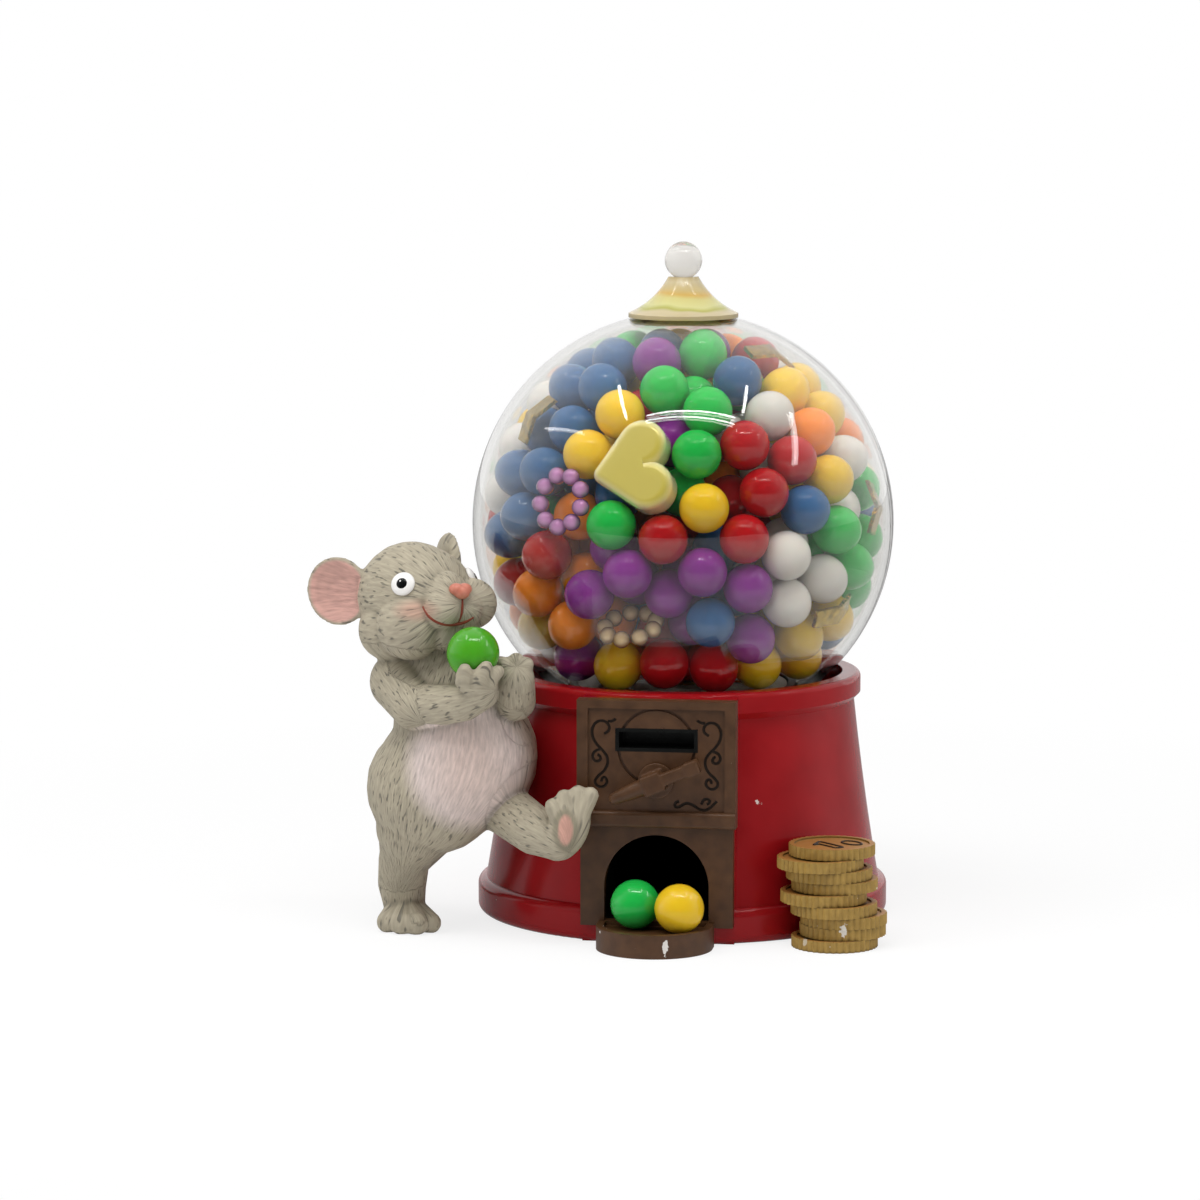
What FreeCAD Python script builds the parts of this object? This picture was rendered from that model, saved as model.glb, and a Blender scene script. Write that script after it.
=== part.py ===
"""A tabletop gumball machine ornament: a red conical base with a brown coin front, a clear globe full of
gumballs under a gold-tinted lid, a crank that turns a dispensing wheel, a stack of coins and a small mouse
that leans on it.

Millimetres, +Z up. The origin is on the machine's axis, on the surface that it stands on. The coin front
faces -Y.
"""

import FreeCAD, Part
import math
import os
import random
import re
import Sketcher

V = FreeCAD.Vector

# Driving dimensions, each a cell of the sheet.
SIZES = {
    # gumballs and the dispensing wheel
    "gumball_diameter": 8.0,
    "gumball_gap": 0.2,
    "pocket_clearance": 0.35,
    "pocket_circle": 10.6,
    "pocket_count": 6,
    "ring_gap": 0.7,
    "ring_width": 1.9,
    "wheel_hub_radius": 4.2,
    "wheel_cover": 0.3,
    "axle_radius": 2.0,
    "axle_head_radius": 3.6,
    "axle_head_height": 1.2,
    "run_clearance": 0.3,
    "shaft_clearance": 0.05,
    # toothed ring and pinion
    "wheel_teeth": 33,
    "pinion_teeth": 8,
    "tooth_addendum": 0.8,
    "tooth_dedendum": 1.05,
    "tooth_width": 1.1,
    "tooth_tip_width": 0.7,
    "tooth_root": 0.3,
    "pinion_side_gap": 0.15,
    # crank
    "crank_height": 27.0,
    "crank_reach": 8.5,
    "crank_tilt": 22.6,
    "crank_waist": 2.0,
    "crank_wing_tip": 3.0,
    "crank_wing_thickness": 2.2,
    "crank_hub_radius": 2.3,
    "crank_hub_length": 4.2,
    "crank_socket": 2.8,
    "shaft_radius": 1.5,
    "bush_wall": 1.1,
    "bush_boss_wall": 1.9,
    "bush_length": 9.6,
    "washer_thickness": 0.6,
    "washer_radius": 3.2,
    "pinion_hub_radius": 2.5,
    # hopper under the globe
    "floor_gap": 0.6,
    "floor_thickness": 1.5,
    "well_wall": 1.2,
    "lip_rise": 1.6,
    "flange_thickness": 1.5,
    "axle_boss_wall": 1.6,
    "axle_boss_depth": 3.0,
    "guard_thickness": 1.2,
    "drop_clearance": 0.6,
    # globe and lid
    "globe_radius": 35.0,
    "globe_wall": 1.3,
    "globe_mouth": 6.7,
    "mouth_land": 1.0,
    "seat_clearance": 0.25,
    "gasket_thickness": 0.8,
    "gasket_margin": 0.5,
    "lid_radius": 9.1,
    "lid_edge": 0.7,
    "lid_height": 6.7,
    "lid_neck_radius": 2.5,
    "lid_sweep": 13.5,
    "lid_gap": 0.3,
    "spigot_clearance": 0.3,
    "spigot_wall": 1.0,
    "spigot_depth": 1.6,
    "finial_radius": 3.1,
    "finial_sink": 0.4,
    "finial_stem_radius": 0.9,
    "finial_stem_length": 2.2,
    "lid_crown": 1.6,
    # base housing
    "rim_rise": 2.9,
    "rim_gap": 1.9,
    "collar_wall": 1.9,
    "rim_overhang": 1.1,
    "rim_depth": 4.4,
    "rim_round": 0.9,
    "ledge_width": 2.2,
    "wall_taper": 4.2,
    "wall_flare": 470.0,
    "housing_wall": 2.6,
    "skirt_overhang": 1.4,
    "skirt_height": 5.8,
    "skirt_round": 1.3,
    "skirt_wall": 2.2,
    "cover_thickness": 2.0,
    "cover_clearance": 0.15,
    # screws
    "screw_count": 4,
    "screw_radius": 1.0,
    "screw_length": 6.0,
    "screw_head_radius": 1.8,
    "screw_head_height": 1.2,
    "screw_boss_wall": 1.6,
    "screw_inset": 3.0,
    "flange_screw_length": 4.5,
    "flange_screw_inset": 2.3,
    # coin front and chute
    "panel_width": 24.8,
    "land_inset": 1.2,
    "panel_drop": 0.4,
    "coin_panel_height": 20.6,
    "coin_panel_thickness": 2.4,
    "frame_width": 1.3,
    "frame_proud": 0.5,
    "ledge_height": 2.6,
    "ledge_proud": 1.1,
    "ledge_round": 0.6,
    "panel_foot": 3.0,
    "panel_overhang": 0.5,
    "chute_panel_thickness": 2.2,
    "dial_radius": 6.4,
    "dial_rise": 5.4,
    "dial_groove": 0.5,
    "dial_groove_depth": 0.35,
    "slot_width": 12.2,
    "slot_height": 2.6,
    "slot_rise": 6.5,
    "slot_liner_wall": 0.6,
    "slot_liner_depth": 5.0,
    "peg_radius": 0.9,
    "peg_length": 2.4,
    "peg_inset": 1.3,
    "arch_width": 17.0,
    "arch_head": 1.3,
    "tray_height": 3.8,
    "tray_reach": 12.0,
    "tray_width": 18.8,
    "tray_lip": 1.2,
    "tray_dish": 0.7,
    "duct_wall": 1.2,
    "duct_fall": 12.6,
    "duct_roof_rise": 4.8,
    "duct_window_rise": 1.2,
    "fit_clearance": 0.15,
    # stack of coins
    "coin_radius": 7.0,
    "coin_thickness": 1.82,
    "coin_reeds": 40,
    "coin_reed_depth": 0.28,
    "coin_rim": 0.9,
    "coin_relief": 0.25,
    "coin_shuffle": 0.6,
    "coin_bearing": -46.0,
    # what lies in the globe and on the tray
    "heap_headroom": 1.6,
    "heap_looseness_ratio": 1.05,
    "heap_seed": 7,
    "wall_gap": 0.3,
    "heart_lobe_radius": 4.0,
    "heart_lobe_spread": 3.5,
    "heart_point_radius": 1.5,
    "heart_length": 7.0,
    "heart_thickness": 5.6,
    "heart_round": 1.5,
    "pearl_diameter": 2.8,
    "pearl_count": 9,
    "chip_length": 8.6,
    "chip_width": 3.2,
    "chip_fold": 1.3,
    "chip_thickness": 0.6,
    "tray_ball_left": 3.1,
    "tray_ball_near": 2.5,
    "tray_ball_right": 4.4,
    "tray_ball_far": 5.4,
    # mouse figure
    "mouse_height": 66.0,
    "mouse_stand": 9.1,
    "mouse_bearing": -52.2,
    "held_gumball_diameter": 8.5,
    "ear_radius": 5.6,
    "ear_thickness": 2.4,
    "ear_round": 1.1,
    "contact_gap": 0.15,
}

doc = FreeCAD.newDocument("gumball_machine")
sheet = doc.addObject("Spreadsheet::Sheet", "Sizes")
for row, (alias, value) in enumerate(SIZES.items(), 1):
    sheet.set(f"A{row}", alias.replace("_", " "))
    sheet.set(f"B{row}", str(value))
    sheet.setAlias(f"B{row}", alias)
doc.recompute()

CELL_NAMES = re.compile(r"\b(" + "|".join(SIZES) + r")\b")
pieces = {}


def formula(text):
    """A formula in size names, with each name pointing at its cell."""
    return CELL_NAMES.sub(r"Sizes.\1", text)


def mm(text):
    """What a formula comes to."""
    return float(sheet.evalExpression(formula(text)))


def bind(thing, **formulas):
    """Binds properties of an object to formulas; a double underscore stands for the dot of a sub-property."""
    for prop, text in formulas.items():
        thing.setExpression(prop.replace("__", "."), formula(text))
    return thing


# Places worked out from the sizes, from the crank's axis up to the lid.
GUMBALL_R = "(gumball_diameter / 2)"
POCKET_R = f"({GUMBALL_R} + pocket_clearance)"
RING_INNER = f"(pocket_circle + {POCKET_R} + ring_gap)"
RING_OUTER = f"({RING_INNER} + ring_width)"
RING_MIDDLE = f"({RING_INNER} + ring_width / 2)"
PINION_PITCH_R = f"({RING_MIDDLE} * pinion_teeth / wheel_teeth)"
PITCH_Z = f"(crank_height + {PINION_PITCH_R})"
WHEEL_BOTTOM = f"({PITCH_Z} + tooth_dedendum)"
TOOTH_TIP_Z = f"({PITCH_Z} - tooth_addendum)"
FLOOR_TOP = f"({TOOTH_TIP_Z} - floor_gap)"
FLOOR_BOTTOM = f"({FLOOR_TOP} - floor_thickness)"
WHEEL_TOP = f"({FLOOR_TOP} + gumball_diameter + wheel_cover)"
LIP_TOP = f"({WHEEL_TOP} + run_clearance)"
GUARD_TOP = f"({LIP_TOP} + guard_thickness)"
SEAT_Z = f"({LIP_TOP} - lip_rise)"
FLANGE_BOTTOM = f"({SEAT_Z} - flange_thickness)"
GASKET_TOP = f"({SEAT_Z} + gasket_thickness)"
WELL_INNER = f"({RING_OUTER} + run_clearance)"
WELL_OUTER = f"({WELL_INNER} + well_wall)"
GLOBE_INNER = "(globe_radius - globe_wall)"
FOOT_INNER = f"({WELL_OUTER} + seat_clearance)"
GLOBE_DROP = f"sqrt({GLOBE_INNER}^2 - {FOOT_INNER}^2)"
FOOT_OUTER = f"sqrt(globe_radius^2 - {GLOBE_INNER}^2 + {FOOT_INNER}^2)"
GLOBE_Z = f"({GASKET_TOP} + {GLOBE_DROP})"
RIM_TOP = f"({GASKET_TOP} + rim_rise)"
GLOBE_AT_RIM = f"sqrt(globe_radius^2 - ({GLOBE_DROP} - rim_rise)^2)"
RIM_INNER = f"({GLOBE_AT_RIM} + rim_gap)"
SHOULDER_R = f"({RIM_INNER} + collar_wall)"
SHOULDER_Z = f"({RIM_TOP} - rim_depth)"
RIM_R = f"({SHOULDER_R} + rim_overhang)"
WALL_FOOT_R = f"({SHOULDER_R} + wall_taper)"
SKIRT_R = f"({WALL_FOOT_R} + skirt_overhang)"
RECESS_R = f"({SKIRT_R} - skirt_wall)"
CAVITY_R = f"({WALL_FOOT_R} - housing_wall)"
LEDGE_INNER = f"({RIM_INNER} - ledge_width)"
LAND_Y = f"({WALL_FOOT_R} - land_inset)"
PANEL_TOP = f"({RIM_TOP} - panel_drop)"
PANEL_SPLIT = f"({PANEL_TOP} - coin_panel_height)"
PANEL_FACE = f"({LAND_Y} + coin_panel_thickness)"
LEDGE_FACE = f"({PANEL_FACE} + ledge_proud)"
SLOT_Z = "(crank_height + slot_rise)"
DIAL_Z = "(crank_height + dial_rise)"
ARCH_R = "(arch_width / 2)"
BUSH_R = "(shaft_radius + shaft_clearance + bush_wall)"
BUSH_REAR = f"({PANEL_FACE} - coin_panel_thickness - bush_length)"
MOUTH_FLAT_R = "(globe_mouth + mouth_land)"
MOUTH_FLAT_Z = f"({GLOBE_Z} + sqrt(globe_radius^2 - {MOUTH_FLAT_R}^2))"
MOUTH_INNER_Z = f"({GLOBE_Z} + sqrt({GLOBE_INNER}^2 - globe_mouth^2))"
LID_RIM_Z = f"({GLOBE_Z} + sqrt((globe_radius + lid_gap)^2 - lid_radius^2))"
LID_NECK_Z = f"({LID_RIM_Z} + lid_height)"
SPIGOT_OUTER = "(globe_mouth - spigot_clearance)"
SPIGOT_INNER = f"({SPIGOT_OUTER} - spigot_wall)"
FINIAL_Z = f"({LID_NECK_Z} + finial_radius - finial_sink)"


# Helpers: bodies, sketches and features.
def new_body(label):
    body = doc.addObject("PartDesign::Body", label)
    body.Label = label
    pieces[label] = body
    return body


def plane(body, role):
    return next(f for f in body.Origin.OriginFeatures if f.Role == role)


def arc_between(start, end, radius):
    """The short arc from start to end. A positive radius has its centre on the left of the way along."""
    chord = end - start
    left = V(-chord.y, chord.x, 0).normalize()
    rise = math.sqrt(max(radius**2 - chord.Length**2 / 4, 0))
    centre = (start + end) * 0.5 + left * math.copysign(rise, radius)
    angles = [math.atan2(p.y - centre.y, p.x - centre.x) for p in (start, end)]
    if radius < 0:
        angles.reverse()
    return Part.ArcOfCircle(Part.Circle(centre, V(0, 0, 1), abs(radius)), *angles)


def outline(body, name, role, corners, offset="0"):
    """A closed sketch on a plane of the body. A corner is (x, y), or (x, y, radius) if an arc leaves it."""
    sketch = body.newObject("Sketcher::SketchObject", name)
    sketch.AttachmentSupport = [(plane(body, role), "")]
    sketch.MapMode = "FlatFace"
    bind(sketch, AttachmentOffset__Base__z=offset)
    points = [V(mm(c[0]), mm(c[1]), 0) for c in corners]
    starts, ends = [], []
    for i, corner in enumerate(corners):
        start, end = points[i], points[(i + 1) % len(points)]
        if len(corner) == 2:
            side, along = Part.LineSegment(start, end), (1, 2)
        else:
            side = arc_between(start, end, mm(corner[2]))
            along = (1, 2) if mm(corner[2]) > 0 else (2, 1)
        index = sketch.addGeometry(side)
        starts.append((index, along[0]))
        ends.append((index, along[1]))
    for i, corner in enumerate(corners):
        sketch.addConstraint(Sketcher.Constraint("Coincident", *ends[i - 1], *starts[i]))
        for kind, axis, text in (("DistanceX", -2, corner[0]), ("DistanceY", -1, corner[1])):
            if text == "0":
                sketch.addConstraint(Sketcher.Constraint("PointOnObject", *starts[i], axis))
            else:
                at = sketch.addConstraint(Sketcher.Constraint(kind, -1, 1, *starts[i], mm(text)))
                sketch.setExpression(f"Constraints[{at}]", formula(text))
        if len(corner) == 3:
            size = abs(mm(corner[2]))
            at = sketch.addConstraint(Sketcher.Constraint("Radius", starts[i][0], size))
            sketch.setExpression(f"Constraints[{at}]", formula(f"abs({corner[2]})"))
    return sketch


def rounds(body, name, role, places, offset="0"):
    """A sketch of circles on one of the body's own planes, each (x, y, radius)."""
    sketch = body.newObject("Sketcher::SketchObject", name)
    sketch.AttachmentSupport = [(plane(body, role), "")]
    sketch.MapMode = "FlatFace"
    bind(sketch, AttachmentOffset__Base__z=offset)
    for i, (x, y, radius) in enumerate(places):
        sketch.addGeometry(Part.Circle(V(mm(x), mm(y), 0), V(0, 0, 1), mm(radius)))
        for kind, axis, text in (("DistanceX", -2, x), ("DistanceY", -1, y)):
            if text == "0":
                sketch.addConstraint(Sketcher.Constraint("PointOnObject", i, 3, axis))
            else:
                at = sketch.addConstraint(Sketcher.Constraint(kind, -1, 1, i, 3, mm(text)))
                sketch.setExpression(f"Constraints[{at}]", formula(text))
        at = sketch.addConstraint(Sketcher.Constraint("Radius", i, mm(radius)))
        sketch.setExpression(f"Constraints[{at}]", formula(radius))
    return sketch


def box_corners(left, right, low, high):
    return [(left, low), (right, low), (right, high), (left, high)]


def feature(body, kind, sketch, length=None, both_ways=False, backwards=False):
    """A Pad, Pocket, Revolution or Groove from a sketch. Turned ones go round the sketch's upright axis."""
    made = body.newObject("PartDesign::" + kind, sketch.Name + "_" + kind.lower())
    made.Profile = sketch
    if kind in ("Revolution", "Groove"):
        made.ReferenceAxis = (sketch, ["V_Axis"])
        made.Angle = 360
    else:
        bind(made, Length=length)
        made.SideType = "Symmetric" if both_ways else "One side"
        made.Reversed = backwards
    return made


def polar(body, originals, count, role="Z_Axis"):
    """Copies features evenly round one of the body's axes."""
    pattern = body.newObject("PartDesign::PolarPattern", originals[0].Name + "_ring")
    pattern.Originals = originals
    pattern.Axis = (plane(body, role), [""])
    pattern.Angle = 360
    bind(pattern, Occurrences=count)
    body.Tip = pattern
    return pattern


def turned(label, corners):
    """A body turned about the machine's axis from its half section."""
    body = new_body(label)
    feature(body, "Revolution", outline(body, label + "_section", "XZ_Plane", corners))
    return body


def shape_piece(label, shape):
    """A sub-part whose shape is worked out in this file."""
    made = doc.addObject("Part::Feature", label)
    made.Label = label
    made.Shape = shape
    pieces[label] = made
    return made


# Base housing: a turned shell with a flat land at the front for the coin front.
def housing_section():
    """The housing's outer half section, from the axis round to the axis."""
    return [
        ("0", "0"),
        (f"{SKIRT_R} - skirt_round", "0", "skirt_round"),
        (SKIRT_R, "skirt_round"),
        (SKIRT_R, "skirt_height - skirt_overhang", "skirt_overhang"),
        (WALL_FOOT_R, "skirt_height", "-wall_flare"),
        (SHOULDER_R, SHOULDER_Z),
        (RIM_R, f"{SHOULDER_Z} + rim_overhang"),
        (RIM_R, f"{RIM_TOP} - rim_round", "rim_round"),
        (f"{RIM_R} - rim_round", RIM_TOP),
        ("0", RIM_TOP),
    ]


SCREW_CIRCLE = f"({CAVITY_R} - screw_inset)"
FLANGE_SCREW_CIRCLE = f"({RIM_INNER} - flange_screw_inset)"
SCREW_BOSS_R = "(screw_radius + screw_boss_wall)"
SCREW_HOLE_R = "(screw_radius + fit_clearance)"
PANEL_HALF = "(panel_width / 2)"
ARCH_TOP = f"({PANEL_SPLIT} - arch_head)"
TRAY_BACK = f"({LAND_Y} + chute_panel_thickness)"
LINER_X = "(slot_width / 2 + slot_liner_wall)"
LINER_Z = "(slot_height / 2 + slot_liner_wall)"
PEG_X = f"({PANEL_HALF} - peg_inset)"
COIN_PEGS = (f"{PANEL_SPLIT} + ledge_height + peg_inset", f"{PANEL_TOP} - peg_inset")
CHUTE_PEGS = ("tray_height + peg_inset", f"{PANEL_SPLIT} - peg_inset")


def on_diagonal(away):
    """The x and y of a place between +X and +Y, that far from the axis."""
    return f"{away} * cos(45)", f"{away} * cos(45)"


def peg_places(levels, radius):
    return [(side + PEG_X, level, radius) for level in levels for side in ("", "-")]


def make_housing():
    body = turned("base_housing", housing_section())
    front = box_corners(f"-{PANEL_HALF}", PANEL_HALF, "0", PANEL_TOP)
    feature(body, "Pad", outline(body, "land", "XZ_Plane", front), LAND_Y)
    above_foot = box_corners(f"-{PANEL_HALF}", PANEL_HALF, "panel_foot", PANEL_TOP)
    trim = outline(body, "land_trim", "XZ_Plane", above_foot, LAND_Y)
    feature(body, "Pocket", trim, f"{SKIRT_R} - {LAND_Y} + 1", backwards=True)
    under_foot = box_corners(f"-{PANEL_HALF}", PANEL_HALF, "0", "panel_foot")
    tray_flat = outline(body, "tray_flat", "XZ_Plane", under_foot, TRAY_BACK)
    feature(body, "Pocket", tray_flat, f"{SKIRT_R} - {TRAY_BACK} + 1", backwards=True)
    cavity = [
        ("0", "0"),
        (RECESS_R, "0"),
        (RECESS_R, "cover_thickness"),
        (CAVITY_R, "cover_thickness"),
        (LEDGE_INNER, FLANGE_BOTTOM),
        (RIM_INNER, FLANGE_BOTTOM),
        (RIM_INNER, RIM_TOP),
        ("0", RIM_TOP),
    ]
    feature(body, "Groove", outline(body, "cavity", "XZ_Plane", cavity))
    boss = [("0", "crank_height", f"{BUSH_R} + bush_boss_wall")]
    feature(body, "Pad", rounds(body, "bush_boss", "XZ_Plane", boss, BUSH_REAR), "bush_length")
    foot = on_diagonal(SCREW_CIRCLE)
    top = on_diagonal(FLANGE_SCREW_CIRCLE)
    foot_boss = rounds(body, "foot_boss", "XY_Plane", [(*foot, SCREW_BOSS_R)], "cover_thickness")
    polar(body, [feature(body, "Pad", foot_boss, "screw_length + screw_radius")], "screw_count")
    foot_pilot = rounds(body, "foot_pilot", "XY_Plane", [(*foot, "screw_radius")], "cover_thickness")
    polar(body, [feature(body, "Pocket", foot_pilot, "screw_length", backwards=True)], "screw_count")
    top_boss = rounds(body, "top_boss", "XY_Plane", [(*top, SCREW_BOSS_R)], FLANGE_BOTTOM)
    deep = "flange_screw_length + screw_radius"
    polar(body, [feature(body, "Pad", top_boss, deep, backwards=True)], "screw_count")
    top_pilot = rounds(body, "top_pilot", "XY_Plane", [(*top, "screw_radius")], FLANGE_BOTTOM)
    polar(body, [feature(body, "Pocket", top_pilot, "flange_screw_length")], "screw_count")
    bore = rounds(body, "bush_bore", "XZ_Plane", [("0", "crank_height", BUSH_R)], BUSH_REAR)
    feature(body, "Pocket", bore, "bush_length", backwards=True)
    liner_x, liner_z = f"{LINER_X} + fit_clearance", f"({LINER_Z} + fit_clearance)"
    slot = box_corners(f"-({liner_x})", liner_x, f"{SLOT_Z} - {liner_z}", f"{SLOT_Z} + {liner_z}")
    slot_depth = "slot_liner_depth - coin_panel_thickness + fit_clearance"
    feature(body, "Pocket", outline(body, "slot_recess", "XZ_Plane", slot, LAND_Y), slot_depth)
    duct_x = f"{ARCH_R} + duct_wall + fit_clearance"
    window = box_corners(
        f"-({duct_x})",
        duct_x,
        "tray_height - duct_wall - fit_clearance",
        f"{ARCH_TOP} + duct_wall + duct_window_rise",
    )
    feature(
        body, "Pocket", outline(body, "chute_window", "XZ_Plane", window, LAND_Y), f"{LAND_Y} - {WELL_OUTER}"
    )
    holes = peg_places(COIN_PEGS + CHUTE_PEGS, "peg_radius + fit_clearance")
    pegs = rounds(body, "peg_holes", "XZ_Plane", holes, LAND_Y)
    feature(body, "Pocket", pegs, "peg_length + fit_clearance")


# Bottom cover and the two sets of screws.
def make_screws(label, away, head_from, head_up, length):
    """Screws on the diagonals. head_from is the level of the head's seat; the shank goes the other way."""
    body = new_body(label)
    place = on_diagonal(away)
    head = rounds(body, label + "_heads", "XY_Plane", [(*place, "screw_head_radius")], head_from)
    shank = rounds(body, label + "_shanks", "XY_Plane", [(*place, "screw_radius")], head_from)
    made = [
        feature(body, "Pad", head, "screw_head_height", backwards=not head_up),
        feature(body, "Pad", shank, length, backwards=head_up),
    ]
    polar(body, made, "screw_count")


def make_cover():
    radius = f"{RECESS_R} - cover_clearance"
    edge = [("0", "0"), (radius, "0"), (radius, "cover_thickness"), ("0", "cover_thickness")]
    body = turned("bottom_cover", edge)
    place = on_diagonal(SCREW_CIRCLE)
    hole = rounds(body, "cover_hole", "XY_Plane", [(*place, SCREW_HOLE_R)])
    sink = rounds(body, "cover_sink", "XY_Plane", [(*place, "screw_head_radius + fit_clearance")])
    made = [
        feature(body, "Pocket", hole, "cover_thickness", backwards=True),
        feature(body, "Pocket", sink, COVER_SINK, backwards=True),
    ]
    polar(body, made, "screw_count")


COVER_SINK = "(screw_head_height + fit_clearance)"


# Coin front: the coin panel over the chute panel, the black slot liner, the tray and the duct behind them.
def make_coin_panel():
    body = new_body("coin_panel")
    half = f"({PANEL_HALF} + panel_overhang)"
    face = box_corners(f"-{half}", half, PANEL_SPLIT, PANEL_TOP)
    plate = outline(body, "coin_plate", "XZ_Plane", face, LAND_Y)
    feature(body, "Pad", plate, "coin_panel_thickness + frame_proud")
    inside = f"({PANEL_HALF} - frame_width)"
    field = box_corners(f"-{inside}", inside, f"{PANEL_SPLIT} + ledge_height", f"{PANEL_TOP} - frame_width")
    recess = outline(body, "coin_field", "XZ_Plane", field, PANEL_FACE)
    feature(body, "Pocket", recess, "frame_proud", backwards=True)
    ledge_top = f"{PANEL_SPLIT} + ledge_height"
    ledge = [
        (f"-{LAND_Y}", ledge_top),
        (f"-{LAND_Y}", PANEL_SPLIT),
        (f"-({LEDGE_FACE} - ledge_round)", PANEL_SPLIT, "-ledge_round"),
        (f"-{LEDGE_FACE}", f"{PANEL_SPLIT} + ledge_round"),
        (f"-{LEDGE_FACE}", f"{ledge_top} - ledge_round", "-ledge_round"),
        (f"-({LEDGE_FACE} - ledge_round)", ledge_top),
    ]
    feature(body, "Pad", outline(body, "coin_ledge", "YZ_Plane", ledge), f"2 * {half}", both_ways=True)
    ring = [("0", DIAL_Z, "dial_radius"), ("0", DIAL_Z, "dial_radius - dial_groove")]
    dial = rounds(body, "dial_ring", "XZ_Plane", ring, PANEL_FACE)
    feature(body, "Pocket", dial, "dial_groove_depth")
    slot = box_corners(f"-{LINER_X}", LINER_X, f"{SLOT_Z} - {LINER_Z}", f"{SLOT_Z} + {LINER_Z}")
    through = "coin_panel_thickness"
    feature(body, "Pocket", outline(body, "coin_slot", "XZ_Plane", slot, PANEL_FACE), through)
    bore = rounds(body, "bush_hole", "XZ_Plane", [("0", "crank_height", BUSH_R)], PANEL_FACE)
    feature(body, "Pocket", bore, through)
    pegs = rounds(body, "coin_pegs", "XZ_Plane", peg_places(COIN_PEGS, "peg_radius"), LAND_Y)
    feature(body, "Pad", pegs, "peg_length", backwards=True)


def make_chute_panel():
    body = new_body("chute_panel")
    face = box_corners(f"-{PANEL_HALF}", PANEL_HALF, "panel_foot", PANEL_SPLIT)
    feature(body, "Pad", outline(body, "chute_plate", "XZ_Plane", face, LAND_Y), "chute_panel_thickness")
    spring = f"{ARCH_TOP} - {ARCH_R}"
    arch = [
        (f"-{ARCH_R}", "tray_height"),
        (ARCH_R, "tray_height"),
        (ARCH_R, spring, ARCH_R),
        ("0", ARCH_TOP, ARCH_R),
        (f"-{ARCH_R}", spring),
    ]
    opening = outline(body, "chute_arch", "XZ_Plane", arch, TRAY_BACK)
    feature(body, "Pocket", opening, "chute_panel_thickness")
    pegs = rounds(body, "chute_pegs", "XZ_Plane", peg_places(CHUTE_PEGS, "peg_radius"), LAND_Y)
    feature(body, "Pad", pegs, "peg_length", backwards=True)


def make_slot_liner():
    body = new_body("coin_slot_liner")
    cup = box_corners(f"-{LINER_X}", LINER_X, f"{SLOT_Z} - {LINER_Z}", f"{SLOT_Z} + {LINER_Z}")
    cup = outline(body, "liner_cup", "XZ_Plane", cup, PANEL_FACE)
    feature(body, "Pad", cup, "slot_liner_depth", backwards=True)
    half, tall = "slot_width / 2", "slot_height / 2"
    mouth = box_corners(f"-{half}", half, f"{SLOT_Z} - {tall}", f"{SLOT_Z} + {tall}")
    inside = outline(body, "liner_mouth", "XZ_Plane", mouth, PANEL_FACE)
    feature(body, "Pocket", inside, "slot_liner_depth - slot_liner_wall")


def tray_outline(inset, back):
    """The tray's outline seen from above, drawn in by inset and open to the plane at back."""
    half = f"(tray_width / 2 - {inset})"
    shoulder = f"-({TRAY_BACK} + tray_reach - tray_width / 2)"
    return [
        (f"-{half}", f"-{back}"),
        (f"-{half}", shoulder, half),
        ("0", f"{shoulder} - {half}", half),
        (half, shoulder),
        (half, f"-{back}"),
    ]


def make_tray():
    body = new_body("delivery_tray")
    feature(body, "Pad", outline(body, "tray_plate", "XY_Plane", tray_outline("0", TRAY_BACK)), "tray_height")
    dish = outline(body, "tray_hollow", "XY_Plane", tray_outline("tray_lip", TRAY_BACK), "tray_height")
    feature(body, "Pocket", dish, "tray_dish")


DUCT_HALF = f"({ARCH_R} + duct_wall)"
DROP_R = f"({GUMBALL_R} + drop_clearance)"
SHAFT_REAR = f"(pocket_circle + {DROP_R} + duct_wall)"
SHAFT_FRONT = f"(pocket_circle - {DROP_R} - duct_wall)"


def duct_section(inset):
    """The duct's side view, drawn in by inset: from the arch up the slope to the shaft under the hole."""
    low = "tray_height - duct_wall"
    high = f"{ARCH_TOP} + duct_wall"
    return [
        (f"-{LAND_Y}", f"{low} + {inset}"),
        (f"{SHAFT_REAR} - {inset}", f"{FLOOR_BOTTOM} - duct_fall - duct_wall + {inset}"),
        (f"{SHAFT_REAR} - {inset}", FLOOR_BOTTOM),
        (f"{SHAFT_FRONT} + {inset}", FLOOR_BOTTOM),
        (f"{SHAFT_FRONT} + {inset}", f"{high} + duct_roof_rise - {inset}"),
        (f"-{LAND_Y}", f"{high} - {inset}"),
    ]


def make_duct():
    body = new_body("delivery_duct")
    outer = outline(body, "duct_outside", "YZ_Plane", duct_section("0"))
    feature(body, "Pad", outer, f"2 * {DUCT_HALF}", both_ways=True)
    inner = outline(body, "duct_inside", "YZ_Plane", duct_section("duct_wall"))
    feature(body, "Pocket", inner, "arch_width", both_ways=True)


# Hopper: the well under the globe, with the axle, the wheel and the guard over the drop hole.
PINION_TIP_R = f"({PINION_PITCH_R} + tooth_addendum)"
FLANGE_R = f"({RIM_INNER} - fit_clearance)"
AXLE_FOOT = f"({FLOOR_BOTTOM} - axle_boss_depth)"
AXLE_HEAD = f"({WHEEL_TOP} + run_clearance / 2)"


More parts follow.
